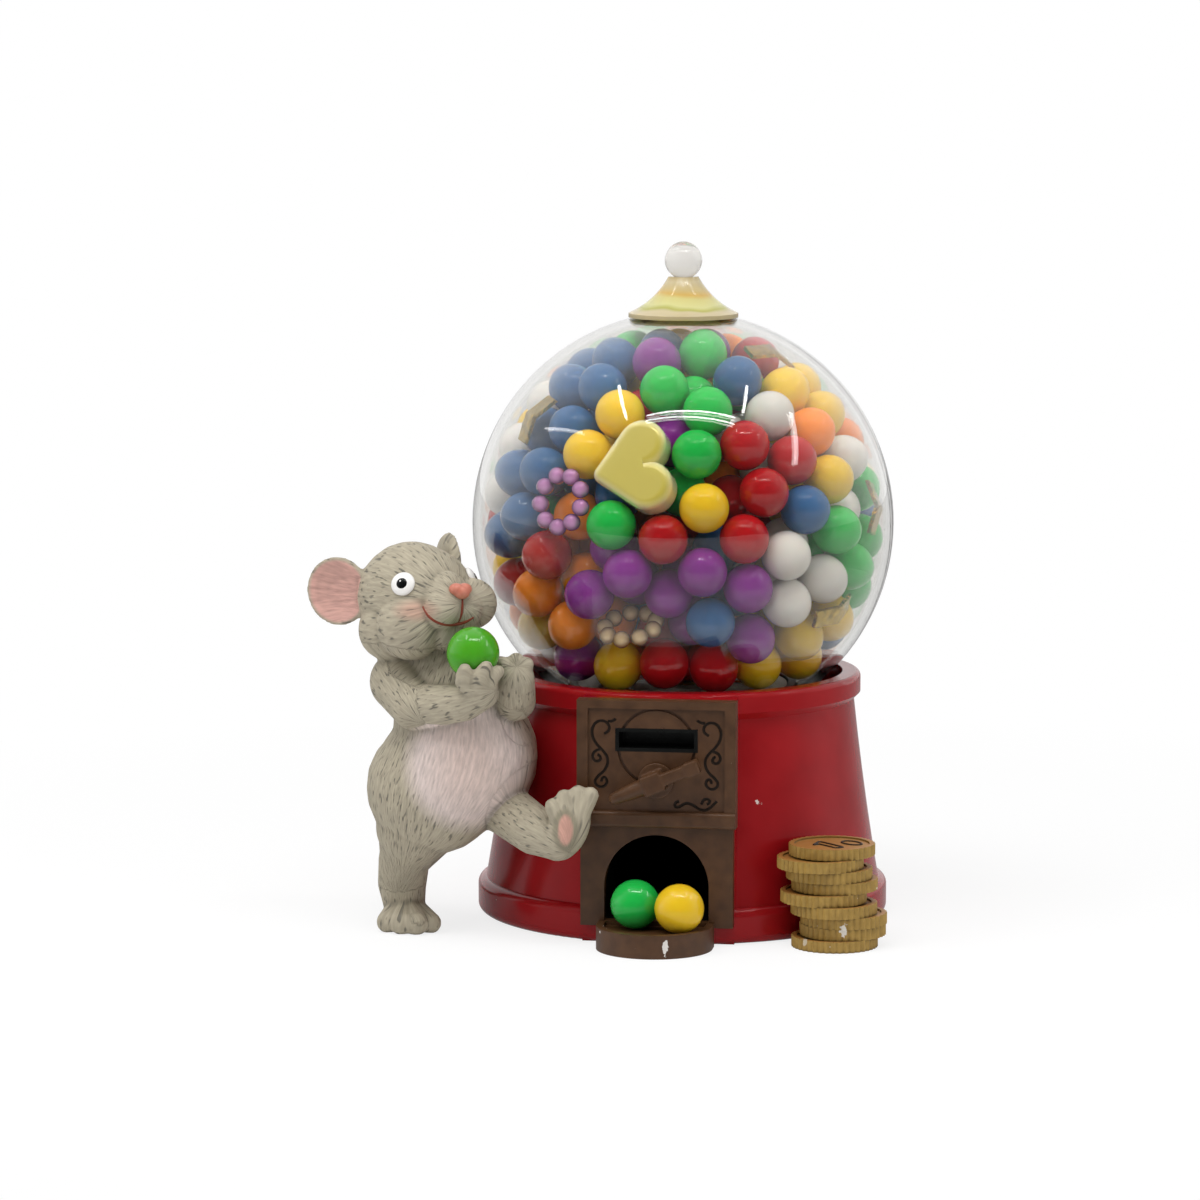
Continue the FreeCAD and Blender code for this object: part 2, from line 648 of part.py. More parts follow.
def make_hopper():
    section = [
        ("0", FLOOR_BOTTOM),
        (WELL_OUTER, FLOOR_BOTTOM),
        (WELL_OUTER, FLANGE_BOTTOM),
        (FLANGE_R, FLANGE_BOTTOM),
        (FLANGE_R, SEAT_Z),
        (WELL_OUTER, SEAT_Z),
        (WELL_OUTER, LIP_TOP),
        (WELL_INNER, LIP_TOP),
        (WELL_INNER, FLOOR_TOP),
        ("0", FLOOR_TOP),
    ]
    body = turned("hopper_floor", section)
    boss = [("0", "0", "axle_radius + axle_boss_wall")]
    feature(body, "Pad", rounds(body, "axle_boss", "XY_Plane", boss, AXLE_FOOT), "axle_boss_depth")
    bore = rounds(body, "axle_bore", "XY_Plane", [("0", "0", "axle_radius")], AXLE_FOOT)
    feature(body, "Pocket", bore, "axle_boss_depth + floor_thickness", backwards=True)
    drop = rounds(body, "drop_hole", "XY_Plane", [("0", "pocket_circle", DROP_R)], FLOOR_BOTTOM)
    feature(body, "Pocket", drop, "floor_thickness", backwards=True)
    half = f"({PINION_TIP_R} + floor_gap)"
    gap = box_corners(f"-{half}", half, FLOOR_BOTTOM, f"crank_height + {PINION_TIP_R} + floor_gap")
    window = outline(body, "pinion_window", "XZ_Plane", gap, f"{RING_INNER} - floor_gap")
    feature(body, "Pocket", window, f"{WELL_OUTER} - {RING_INNER} + 2 * floor_gap", backwards=True)
    holes = [(*on_diagonal(FLANGE_SCREW_CIRCLE), SCREW_HOLE_R)]
    hole = rounds(body, "flange_hole", "XY_Plane", holes, SEAT_Z)
    polar(body, [feature(body, "Pocket", hole, "flange_thickness")], "screw_count")


def make_axle():
    rise = "(axle_head_height * 2 / 3)"
    dome = f"(axle_head_radius^2 + {rise}^2) / (2 * {rise})"
    section = [
        ("0", AXLE_FOOT),
        ("axle_radius", AXLE_FOOT),
        ("axle_radius", AXLE_HEAD),
        ("axle_head_radius", AXLE_HEAD),
        ("axle_head_radius", f"{AXLE_HEAD} + axle_head_height - {rise}", dome),
        ("0", f"{AXLE_HEAD} + axle_head_height"),
    ]
    turned("wheel_axle", section)


def make_guard():
    body = new_body("pocket_guard")
    half = f"({POCKET_R} + well_wall)"
    back = f"sqrt({WELL_OUTER}^2 - {half}^2)"
    plate = [
        (half, back, WELL_OUTER),
        (f"-{half}", back),
        (f"-{half}", "pocket_circle", half),
        ("0", f"pocket_circle - {half}", half),
        (half, "pocket_circle"),
    ]
    feature(body, "Pad", outline(body, "guard_plate", "XY_Plane", plate, LIP_TOP), "guard_thickness")


def make_wheel():
    bore = "axle_radius + shaft_clearance"
    hub_foot = f"{FLOOR_TOP} + shaft_clearance"
    section = [
        (bore, hub_foot),
        ("wheel_hub_radius", hub_foot),
        ("wheel_hub_radius", WHEEL_BOTTOM),
        (RING_OUTER, WHEEL_BOTTOM),
        (RING_OUTER, WHEEL_TOP),
        (bore, WHEEL_TOP),
    ]
    body = turned("dispensing_wheel", section)
    pocket = rounds(body, "pocket", "XY_Plane", [("0", "pocket_circle", POCKET_R)], WHEEL_TOP)
    polar(body, [feature(body, "Pocket", pocket, f"{WHEEL_TOP} - {WHEEL_BOTTOM}")], "pocket_count")
    flank = [
        ("-tooth_tip_width / 2", TOOTH_TIP_Z),
        ("tooth_tip_width / 2", TOOTH_TIP_Z),
        ("tooth_width / 2", WHEEL_BOTTOM),
        ("tooth_width / 2", f"{WHEEL_BOTTOM} + tooth_root"),
        ("-tooth_width / 2", f"{WHEEL_BOTTOM} + tooth_root"),
        ("-tooth_width / 2", WHEEL_BOTTOM),
    ]
    tooth = outline(body, "ring_tooth", "XZ_Plane", flank, RING_INNER)
    polar(body, [feature(body, "Pad", tooth, "ring_width")], "wheel_teeth")


# Crank: handle, shaft, bush, washer and pinion, all about the crank's axis.
HANDLE_BACK = f"({LEDGE_FACE} + run_clearance)"
HUB_BACK = f"({PANEL_FACE} + run_clearance)"
PINION_BACK = f"({RING_INNER} + pinion_side_gap)"
PINION_FRONT = f"({RING_OUTER} - pinion_side_gap)"
WASHER_FRONT = f"({BUSH_REAR} - shaft_clearance)"
WASHER_BACK = f"({WASHER_FRONT} - washer_thickness)"


def crank_body(label, turn="0"):
    """A body on the crank's axis, turned about it from upright by turn degrees, seen from the front."""
    body = new_body(label)
    body.Placement = FreeCAD.Placement(V(), FreeCAD.Rotation(V(0, -1, 0), 1))
    return bind(body, Placement__Base__z="crank_height", Placement__Rotation__Angle=turn)


def make_handle():
    body = crank_body("crank_handle", "crank_tilt")
    half, end = "(crank_wing_tip / 2)", "(crank_reach - crank_wing_tip / 2)"
    wings = [
        (end, f"-{half}", half),
        ("crank_reach", "0", half),
        (end, half),
        ("0", "crank_waist / 2"),
        (f"-{end}", half, half),
        ("-crank_reach", "0", half),
        (f"-{end}", f"-{half}"),
        ("0", "-crank_waist / 2"),
    ]
    feature(body, "Pad", outline(body, "wings", "XZ_Plane", wings, HANDLE_BACK), "crank_wing_thickness")
    hub = rounds(body, "hub", "XZ_Plane", [("0", "0", "crank_hub_radius")], HUB_BACK)
    feature(body, "Pad", hub, "crank_hub_length")
    socket = rounds(body, "socket", "XZ_Plane", [("0", "0", "shaft_radius")], HUB_BACK)
    feature(body, "Pocket", socket, "crank_socket", backwards=True)


def tube(label, outer, inner, back, front):
    """A round piece on the crank's axis, with a bore unless inner is None."""
    body = crank_body(label)
    rings = [("0", "0", outer)] + ([("0", "0", inner)] if inner else [])
    feature(body, "Pad", rounds(body, label + "_ring", "XZ_Plane", rings, back), f"{front} - {back}")
    return body


def make_pinion():
    root = f"({PINION_PITCH_R} - tooth_dedendum)"
    body = tube("drive_pinion", root, None, PINION_BACK, PINION_FRONT)
    bind(body, Placement__Rotation__Angle="180 / pinion_teeth")
    flank = [
        ("-tooth_width / 2", f"{root} - tooth_root"),
        ("tooth_width / 2", f"{root} - tooth_root"),
        ("tooth_width / 2", root),
        ("tooth_tip_width / 2", PINION_TIP_R),
        ("-tooth_tip_width / 2", PINION_TIP_R),
        ("-tooth_width / 2", root),
    ]
    tooth = outline(body, "pinion_tooth", "XZ_Plane", flank, PINION_BACK)
    polar(body, [feature(body, "Pad", tooth, f"{PINION_FRONT} - {PINION_BACK}")], "pinion_teeth", "Y_Axis")
    hub = rounds(body, "pinion_hub", "XZ_Plane", [("0", "0", "pinion_hub_radius")], PINION_BACK)
    feature(body, "Pad", hub, f"{WASHER_BACK} - {PINION_BACK}")
    bore = rounds(body, "pinion_bore", "XZ_Plane", [("0", "0", "shaft_radius")], PINION_BACK)
    feature(body, "Pocket", bore, f"{WASHER_BACK} - {PINION_BACK}", backwards=True)


# Globe, gasket and lid.
def make_globe():
    section = [
        (FOOT_INNER, GASKET_TOP),
        (FOOT_OUTER, GASKET_TOP, "globe_radius"),
        ("globe_radius", GLOBE_Z, "globe_radius"),
        (MOUTH_FLAT_R, MOUTH_FLAT_Z),
        ("globe_mouth", MOUTH_FLAT_Z),
        ("globe_mouth", MOUTH_INNER_Z, f"-{GLOBE_INNER}"),
        (GLOBE_INNER, GLOBE_Z, f"-{GLOBE_INNER}"),
    ]
    turned("globe", section)
    rim = f"{FOOT_OUTER} + gasket_margin"
    turned("globe_gasket", box_corners(FOOT_INNER, rim, SEAT_Z, GASKET_TOP))


def make_lid():
    skirt = f"({MOUTH_FLAT_R} + lid_gap / 2)"
    spigot_foot = f"{MOUTH_FLAT_Z} - spigot_depth"
    section = [
        (SPIGOT_INNER, spigot_foot),
        (SPIGOT_OUTER, spigot_foot),
        (SPIGOT_OUTER, MOUTH_FLAT_Z),
        (skirt, MOUTH_FLAT_Z),
        ("lid_radius", LID_RIM_Z),
        ("lid_radius", f"{LID_RIM_Z} + lid_edge", "-lid_sweep"),
        ("lid_neck_radius", LID_NECK_Z),
        ("finial_stem_radius", LID_NECK_Z),
        ("finial_stem_radius", f"{LID_NECK_Z} - finial_stem_length"),
        (SPIGOT_INNER, f"{MOUTH_FLAT_Z} + lid_crown"),
    ]
    turned("lid_cap", section)
    at_neck = f"sqrt(finial_radius^2 - ({FINIAL_Z} - {LID_NECK_Z})^2)"
    finial = [
        ("0", f"{LID_NECK_Z} - finial_stem_length"),
        ("finial_stem_radius", f"{LID_NECK_Z} - finial_stem_length"),
        ("finial_stem_radius", LID_NECK_Z),
        (at_neck, LID_NECK_Z, "finial_radius"),
        ("finial_radius", FINIAL_Z, "finial_radius"),
        ("0", f"{FINIAL_Z} + finial_radius"),
    ]
    turned("lid_finial", finial)


# What lies in the globe: trinkets against the glass, and gumballs that are eased apart until none overlap.
def from_axis(bearing, away, height):
    """A place at a bearing round the axis, in degrees from the front towards +X."""
    turn = math.radians(bearing)
    return V(away * math.sin(turn), -away * math.cos(turn), height)


def against_glass(bearing, rise, depth, spin=0):
    """A placement inside the globe, depth in from the glass, whose z axis points straight out through it."""
    middle = V(0, 0, mm(GLOBE_Z))
    level = math.radians(rise)
    out = from_axis(bearing, math.cos(level), math.sin(level))
    turn = FreeCAD.Rotation(V(0, 0, 1).cross(out), V(0, 0, 1), out, "ZXY")
    place = middle + out * (mm(GLOBE_INNER) - mm("wall_gap") - depth)
    return FreeCAD.Placement(place, turn.multiply(FreeCAD.Rotation(V(0, 0, 1), spin)))


def limb(start, end, start_radius, end_radius):
    """The cone between two balls, a little slimmer than they are so that they round off its ends."""
    slim = 0.95
    way = end - start
    if abs(start_radius - end_radius) < 0.05:
        return Part.makeCylinder(start_radius * slim, way.Length, start, way)
    return Part.makeCone(start_radius * slim, end_radius * slim, way.Length, start, way)


def fused(shapes):
    """All the shapes as one. They are joined one after another, since many balls at once can lose some."""
    whole = shapes[0]
    for shape in shapes[1:]:
        whole = whole.fuse(shape)
    return whole


HEART_AT = (-9.5, 22.0, -75.0)
RINGS_AT = {"pearl_ring_pink": (-31.5, 11.0, 0.0), "pearl_ring_cream": (-13.5, -31.0, 98.0)}
CHIPS_AT = ((-55.5, 34.0, 80.0), (68.0, 60.0, -30.0), (62.0, -23.0, 15.0), (81.0, 6.0, 75.0))


def make_heart():
    """A heart-shaped bead with rounded edges: two lobes that run together into a blunt point."""
    lobe, point, thick = mm("heart_lobe_radius"), mm("heart_point_radius"), mm("heart_thickness")
    tops = [V(side * mm("heart_lobe_spread"), mm("heart_length / 3"), 0) for side in (-1, 1)]
    tip = V(0, -mm("heart_length * 2 / 3"), 0)
    back = V(0, 0, -thick / 2)

    def slab(corners):
        return Part.Face(Part.makePolygon([c + back for c in corners + corners[:1]])).extrude(V(0, 0, thick))

    drops = []
    for top in tops:
        way = tip - top
        lean = math.degrees(math.acos((lobe - point) / way.Length))
        sides = [FreeCAD.Rotation(V(0, 0, 1), turn).multVec(way).normalize() for turn in (lean, -lean)]
        left, right = sides
        flank = slab([top + left * lobe, tip + left * point, tip + right * point, top + right * lobe])
        ends = [Part.makeCylinder(lobe, thick, top + back), Part.makeCylinder(point, thick, tip + back)]
        drop = fused([flank] + ends).removeSplitter()
        drops.append(drop.makeFillet(mm("heart_round"), [e for e in drop.Edges if e.BoundBox.ZLength < 1e-6]))
    heart = fused(drops + [slab(tops + [tip])])
    bulge = (lobe + mm("heart_lobe_spread")) ** 2 / mm(f"2 * {GLOBE_INNER}")
    seat = against_glass(*HEART_AT[:2], thick / 2 + bulge, HEART_AT[2])
    heart.Placement = seat
    shape_piece("heart_bead", heart)
    edge = thick / 2 - mm("heart_round")
    keep_out = []
    for top in tops:
        for share in [step / 8 for step in range(9)]:
            wide = lobe + (point - lobe) * share
            keep_out.append((seat.multVec(top + (tip - top) * share), math.hypot(wide, edge)))
    return keep_out


def make_pearl_rings():
    """Rings of pearls that touch the glass: one faces it, the other lies over on its side."""
    pearl = mm("pearl_diameter / 2")
    count = int(mm("pearl_count"))
    spread = (pearl + mm("contact_gap / 4")) / math.sin(math.pi / count)
    middle, reach = V(0, 0, mm(GLOBE_Z)), mm(GLOBE_INNER) - mm("wall_gap") - pearl
    keep_out = []
    for label, (bearing, rise, lean) in RINGS_AT.items():
        seat = against_glass(bearing, rise, pearl)
        out = seat.Rotation.multVec(V(0, 0, 1))
        seat.Rotation = seat.Rotation.multiply(FreeCAD.Rotation(V(1, 0, 0), -lean))
        places = [seat.multVec(from_axis(360 * k / count, spread, 0)) for k in range(count)]
        too_far = 0
        for place in places:
            along = out.dot(place - middle)
            too_far = max(too_far, along - math.sqrt(along**2 - (place - middle).Length ** 2 + reach**2))
        places = [place - out * too_far for place in places]
        shape_piece(label, Part.makeCompound([Part.makeSphere(pearl, p) for p in places]))
        keep_out += [(p, pearl) for p in places] + [(seat.Base - out * too_far, spread)]
    return keep_out


def make_chips():
    """Bits of folded foil, each a strip with a ridge across its middle that touches the glass."""
    half, width, thick = mm("chip_length / 2"), mm("chip_width"), mm("chip_thickness")
    fold = mm("chip_fold")
    upper = [(-half, -fold), (0, 0), (half, -fold)]
    section = upper + [(x, z - thick) for x, z in reversed(upper)]
    corners = [V(x, -width / 2, z) for x, z in section + section[:1]]
    strip = Part.Face(Part.makePolygon(corners)).extrude(V(0, width, 0))
    chips, keep_out = [], []
    for bearing, rise, spin in CHIPS_AT:
        seat = against_glass(bearing, rise, width**2 / mm(f"8 * {GLOBE_INNER}"), spin)
        chip = strip.copy()
        chip.Placement = seat
        chips.append(chip)
        for share in (-0.9, -0.45, 0, 0.45, 0.9):
            keep_out.append((seat.multVec(V(half * share, 0, -fold * abs(share) - thick / 2)), width * 0.6))
    shape_piece("gold_foil_chips", Part.makeCompound(chips))
    return keep_out


def settle(keep_out):
    """Places for the gumballs: a seeded scatter through the heap, eased apart and out towards the glass.
    It is worked out from the globe's middle, so the heap goes with the globe."""
    rng = random.Random(int(mm("heap_seed")))
    middle, radius = V(0, 0, mm(GLOBE_Z)), mm(GUMBALL_R)
    kept_off = [([round(c, 6) for c in place - middle], size) for place, size in keep_out]
    shell = mm(GLOBE_INNER) - mm("wall_gap") - radius
    gap = mm("gumball_gap")
    reach = 2 * radius + gap
    low = round(mm(f"{GUARD_TOP} - {GLOBE_Z}") + radius + gap, 6)
    high = mm(f"{GLOBE_INNER} - heap_headroom") - radius
    clearance = radius + gap

    def hold(p):
        """Puts a place back inside the globe, above the wheel, under the heap's top and off the trinkets."""
        for centre, size in kept_off:
            apart = math.dist(p, centre)
            if apart < size + clearance:
                p[:] = [c + (q - c) * (size + clearance) / apart for c, q in zip(centre, p)]
        p[2] = min(max(p[2], low), high)
        out = math.hypot(*p)
        if out > shell:
            p[:] = [c * shell / out for c in p]

    step = reach * mm("heap_looseness_ratio")
    lift = step * math.sqrt(2 / 3)
    rows = range(-int(shell / step) - 2, int(shell / step) + 3)
    places = []
    for k in range(int((high - low) / lift) + 1):
        for i in rows:
            for j in rows:
                x = (i + 0.5 * (j % 2) + 0.5 * (k % 2)) * step
                spot = [x, (j + (k % 2) / 3) * step * math.sqrt(0.75), low + k * lift]
                held = list(spot)
                hold(held)
                if math.dist(spot, held) < radius * 0.4:
                    places.append([c + rng.uniform(-radius, radius) for c in held])
    near = []
    for sweep in range(300):
        if sweep % 10 == 0:
            near = [(a, b) for i, a in enumerate(places) for b in places[:i] if math.dist(a, b) < reach * 1.3]
        for a, b in near:
            apart = math.dist(a, b)
            if apart < reach:
                push = (reach - apart) / 2 / apart
                for axis in range(3):
                    shift = (a[axis] - b[axis]) * push
                    a[axis] += shift
                    b[axis] -= shift
        for p in places:
            if sweep < 150:
                drift = 1 + radius / 40 / max(math.hypot(*p), radius / 4)
                p[:] = [c * drift for c in p]
            hold(p)
    kept = []
    for p in places:
        free = all(math.dist(p, q) > 2 * radius + gap / 4 for q in kept)
        if free and all(math.dist(p, c) > size + radius for c, size in kept_off):
            kept.append(p)
    touching = [p for p in kept if any(p is not q and math.dist(p, q) < reach + gap / 2 for q in kept)]
    return sorted((V(*p) + middle for p in touching), key=lambda place: place.z)


# Beads that were poured in colour by colour: each colour is commonest round these bearings and rises.
COLOUR_ZONES = {
    "red": ((34, 20), (8, -55)),
    "orange": ((42, 32), (-44, -17)),
    "yellow": ((-28, 30), (77, 29), (69, -42)),
    "green": ((75, -1), (6, 36)),
    "blue": ((-61, 52), (20, -17), (-55, 7)),
    "purple": ((-22, -16), (8, -30)),
    "white": ((45, -18), (61, 40)),
}


def colour_of(place, rng):
    """A colour for a gumball, likelier one whose zone it lies in."""
    out = (place - V(0, 0, mm(GLOBE_Z))).normalize()
    chances = []
    for zones in COLOUR_ZONES.values():
        rises = [(bearing, math.radians(rise)) for bearing, rise in zones]
        near = max(out.dot(from_axis(b, math.cos(r), math.sin(r))) for b, r in rises)
        chances.append(1 + 60 * max(near, 0) ** 40)
    return rng.choices(list(COLOUR_ZONES), chances)[0]


def balls(label, places, diameter="gumball_diameter"):
    shape_piece(label, Part.makeCompound([Part.makeSphere(mm(diameter) / 2, p) for p in places]))


def make_gumballs():
    places = settle(make_heart() + make_pearl_rings() + make_chips())
    rng = random.Random(int(mm("heap_seed")))
    coloured = [(colour_of(place, rng), place) for place in places]
    for colour in COLOUR_ZONES:
        balls("gumballs_" + colour, [place for given, place in coloured if given == colour])
    turn = 360 / mm("pocket_count")
    level = mm(f"{FLOOR_TOP} + {GUMBALL_R} + shaft_clearance")
    pockets = range(1, int(mm("pocket_count")))
    loaded = [from_axis(180 + turn * k, mm("pocket_circle"), level) for k in pockets]
    balls("pocket_gumballs", loaded)
    on_tray = mm(f"tray_height - tray_dish + {GUMBALL_R}")
    balls("tray_gumball_green", [V(-mm("tray_ball_left"), -mm(f"{TRAY_BACK} + tray_ball_near"), on_tray)])
    balls("tray_gumball_yellow", [V(mm("tray_ball_right"), -mm(f"{TRAY_BACK} + tray_ball_far"), on_tray)])


# Coins stacked against the machine, each as close to it as the wall is at its own height, and pushed sideways
# by a share of its radius.
COIN_PUSHES = (-0.05, 0.18, 0.19, -0.06, -0.2, 0.1, -0.02, -0.24, 0.13)


def wall_radius(height):
    """How far the housing reaches out at a height."""
    if height < mm("skirt_height"):
        return mm(SKIRT_R)
    share = (height - mm("skirt_height")) / (mm(SHOULDER_Z) - mm("skirt_height"))
    return mm(WALL_FOOT_R) - share * mm("wall_taper")


def make_coins():
    rng = random.Random(3)
    radius, thick, reeds = mm("coin_radius"), mm("coin_thickness"), int(mm("coin_reeds"))
    rim, relief = mm("coin_rim"), mm("coin_relief")
    edge = []
    for k in range(2 * reeds + 1):
        edge.append(from_axis(180 * k / reeds, radius - (k % 2) * mm("coin_reed_depth"), 0))
    blank = Part.Face(Part.makePolygon(edge)).extrude(V(0, 0, thick))
    dish = Part.makeCylinder(radius - rim, relief, V(0, 0, thick - relief))
    coin = blank.cut(dish)
    coins = []
    for k, push in enumerate(COIN_PUSHES):
        away = wall_radius(k * thick) + radius + mm("contact_gap") + rng.uniform(0, mm("coin_shuffle"))
        turn = math.radians(mm("coin_bearing"))
        at = V(away * math.cos(turn), away * math.sin(turn), k * thick)
        at += V(-math.sin(turn), math.cos(turn), 0) * push * radius
        placed = coin.copy()
        placed.Placement = FreeCAD.Placement(at, FreeCAD.Rotation(V(0, 0, 1), rng.uniform(0, 90)))
        coins.append(placed)
    shape_piece("coin_stack", Part.makeCompound(coins))


# Mouse figure: rounded masses, each a place from the spot that it stands on and a radius, as shares of the
# mouse's height. They are joined limb by limb and trimmed clear of the machine.
MOUSE_MASSES = {
    "heel": (-0.136, 0.055, 0.039, 0.050),
    "outer_toe": (-0.142, -0.040, 0.024, 0.032),
    "middle_toe": (-0.100, -0.056, 0.026, 0.033),
    "inner_toe": (-0.062, -0.032, 0.024, 0.030),
    "ankle": (-0.139, 0.035, 0.112, 0.061),
    "shin": (-0.130, 0.015, 0.176, 0.064),
    "thigh": (-0.098, -0.009, 0.262, 0.098),
    "hip": (-0.052, 0.002, 0.362, 0.168),
    "belly": (0.022, 0.013, 0.440, 0.184),
    "chest": (-0.018, 0.009, 0.594, 0.138),
    "neck": (-0.052, 0.006, 0.705, 0.094),
    "head": (-0.085, 0.003, 0.821, 0.142),
    "near_cheek": (-0.152, -0.046, 0.759, 0.079),
    "far_cheek": (0.048, -0.024, 0.824, 0.064),
    "muzzle": (0.043, -0.073, 0.812, 0.080),
    "nose": (0.052, -0.142, 0.858, 0.026),
    "near_shoulder": (-0.130, -0.030, 0.628, 0.076),
    "near_elbow": (-0.080, -0.120, 0.578, 0.057),
    "near_wrist": (0.056, -0.188, 0.600, 0.044),
    "near_hand": (0.104, -0.200, 0.628, 0.040),
    "far_shoulder": (0.110, 0.012, 0.630, 0.060),
    "far_elbow": (0.163, -0.060, 0.590, 0.050),
    "far_hand": (0.174, -0.120, 0.655, 0.045),
    "far_thigh": (0.120, 0.000, 0.315, 0.066),
    "knee": (0.222, -0.130, 0.280, 0.060),
    "raised_heel": (0.282, -0.172, 0.256, 0.042),
    "raised_toe": (0.350, -0.179, 0.355, 0.036),
    "rump": (-0.048, 0.130, 0.262, 0.070),
    "tail_bend": (-0.180, 0.250, 0.091, 0.037),
    "tail_turn": (-0.223, 0.390, 0.033, 0.029),
    "tail_curl": (-0.243, 0.525, 0.024, 0.024),
    "tail_tip": (-0.217, 0.629, 0.018, 0.018),
}
MOUSE_LIMBS = (
    ("heel", "outer_toe"),
    ("heel", "middle_toe"),
    ("heel", "inner_toe"),
    ("heel", "ankle"),
    ("ankle", "shin"),
    ("shin", "thigh"),
    ("head", "muzzle"),
    ("muzzle", "nose"),
    ("near_shoulder", "near_elbow"),
    ("near_elbow", "near_wrist"),
    ("far_shoulder", "far_elbow"),
    ("far_elbow", "far_hand"),
    ("far_thigh", "knee"),
    ("knee", "raised_heel"),
    ("raised_heel", "raised_toe"),
    ("rump", "tail_bend"),
    ("tail_bend", "tail_turn"),
    ("tail_turn", "tail_curl"),
    ("tail_curl", "tail_tip"),
)
MOUSE_EARS = (
    ((-0.290, 0.009, 0.845), (-0.3, -1.0, 0.0)),
    ((-0.037, 0.143, 0.893), (0.88, 0.46, 0.0)),
)
HELD_GUMBALL = (0.078, -0.185, 0.724)


def machine_envelope():
    """Solids round the machine, a contact gap larger than it is, for trimming what leans on it."""
    gap = mm("contact_gap")
    section = [
        (0, 0),
        (mm(SKIRT_R) + gap, 0),
        (mm(SKIRT_R) + gap, mm("skirt_height")),
        (mm(WALL_FOOT_R) + gap, mm("skirt_height") + gap),
        (mm(SHOULDER_R) + gap, mm(SHOULDER_Z) - gap),
        (mm(RIM_R) + gap, mm(SHOULDER_Z) + mm("rim_overhang") - gap),
        (mm(RIM_R) + gap, mm(RIM_TOP) + gap),
        (0, mm(RIM_TOP) + gap),
    ]
    wire = Part.makePolygon([V(r, 0, z) for r, z in section + section[:1]])
    turned_solid = Part.Face(wire).revolve(V(), V(0, 0, 1), 360)
    half, face = mm(f"{PANEL_HALF} + panel_overhang") + gap, mm(LEDGE_FACE) + gap
    front = Part.makeBox(2 * half, face, mm(PANEL_TOP) + gap, V(-half, -face, 0))
    globe = Part.makeSphere(mm("globe_radius") + gap, V(0, 0, mm(GLOBE_Z)))
    return [turned_solid, front, globe]


def make_mouse():
    tall = mm("mouse_height")
    stands = from_axis(mm("mouse_bearing"), mm(f"{SKIRT_R} + mouse_stand"), 0)
    masses = {name: (stands + V(*row[:3]) * tall, row[3] * tall) for name, row in MOUSE_MASSES.items()}
    # The balls lie on their sides, so that their seams and poles stay clear of the limbs.
    pole = V(1.0, 0.2, 0.1)
    shapes = [Part.makeSphere(radius, place, pole) for place, radius in masses.values()]
    for first, second in MOUSE_LIMBS:
        (start, start_radius), (end, end_radius) = masses[first], masses[second]
        shapes.append(limb(start, end, start_radius, end_radius))
    thick = mm("ear_thickness")
    for place, faces in MOUSE_EARS:
        way = V(*faces).normalize()
        disc = Part.makeCylinder(mm("ear_radius"), thick, stands + V(*place) * tall - way * thick / 2, way)
        shapes.append(disc.makeFillet(mm("ear_round"), [e for e in disc.Edges if e.Closed]))
    under_floor = Part.makeBox(4 * tall, 4 * tall, tall, V(-2 * tall, -2 * tall, -tall))
    held_at = stands + V(*HELD_GUMBALL) * tall
    held = Part.makeSphere(mm("held_gumball_diameter / 2 + contact_gap"), held_at)
    figure = fused(shapes)
    for solid in machine_envelope() + [under_floor, held]:
        figure = figure.cut(solid)
    shape_piece("mouse_figure", figure)
    balls("held_gumball", [held_at], "held_gumball_diameter")


make_housing()
make_cover()
COVER_SCREW = f"cover_thickness - {COVER_SINK} + screw_length"
make_screws("bottom_screws", SCREW_CIRCLE, COVER_SINK, False, COVER_SCREW)
make_coin_panel()
make_chute_panel()
make_slot_liner()
make_tray()
make_duct()
make_hopper()
make_screws("hopper_screws", FLANGE_SCREW_CIRCLE, SEAT_Z, True, "flange_thickness + flange_screw_length")
make_axle()
make_guard()
make_wheel()
make_handle()
tube("crank_shaft", "shaft_radius", None, f"({RING_INNER} - pinion_side_gap)", f"({HUB_BACK} + crank_socket)")
tube("crank_bush", BUSH_R, "shaft_radius + shaft_clearance", BUSH_REAR, PANEL_FACE)
tube("thrust_washer", "washer_radius", "shaft_radius", WASHER_BACK, WASHER_FRONT)
make_pinion()
make_globe()
make_lid()
make_gumballs()
make_coins()
make_mouse()

doc.recompute()
os.makedirs("parts", exist_ok=True)
for thing in doc.Objects:
    if "Invalid" in thing.State or "Error" in thing.State:
        raise RuntimeError(f"{thing.Label} did not build: {thing.State}")
for label, piece in pieces.items():
    if piece.Shape.isNull() or not piece.Shape.isValid():
        raise RuntimeError(f"{label} is not a sound solid")
    piece.Shape.exportStep(f"parts/{label}.step")
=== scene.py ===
# %% [markdown]
# # A gumball machine ornament
#
# The object is a hand-painted resin ornament, about 112 mm tall: a red base with a brown coin front, a
# clear globe full of glossy beads, a gold-tinted lid, a stack of coins and a grey mouse that leans on the
# base. The CAD model gives every piece its place and size. This lesson gives the pieces their finishes
# and builds the sculpted ones.

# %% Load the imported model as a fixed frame
import bmesh
import bpy
import math
import numpy as np
from mathutils import Matrix, Vector
from mathutils.bvhtree import BVHTree


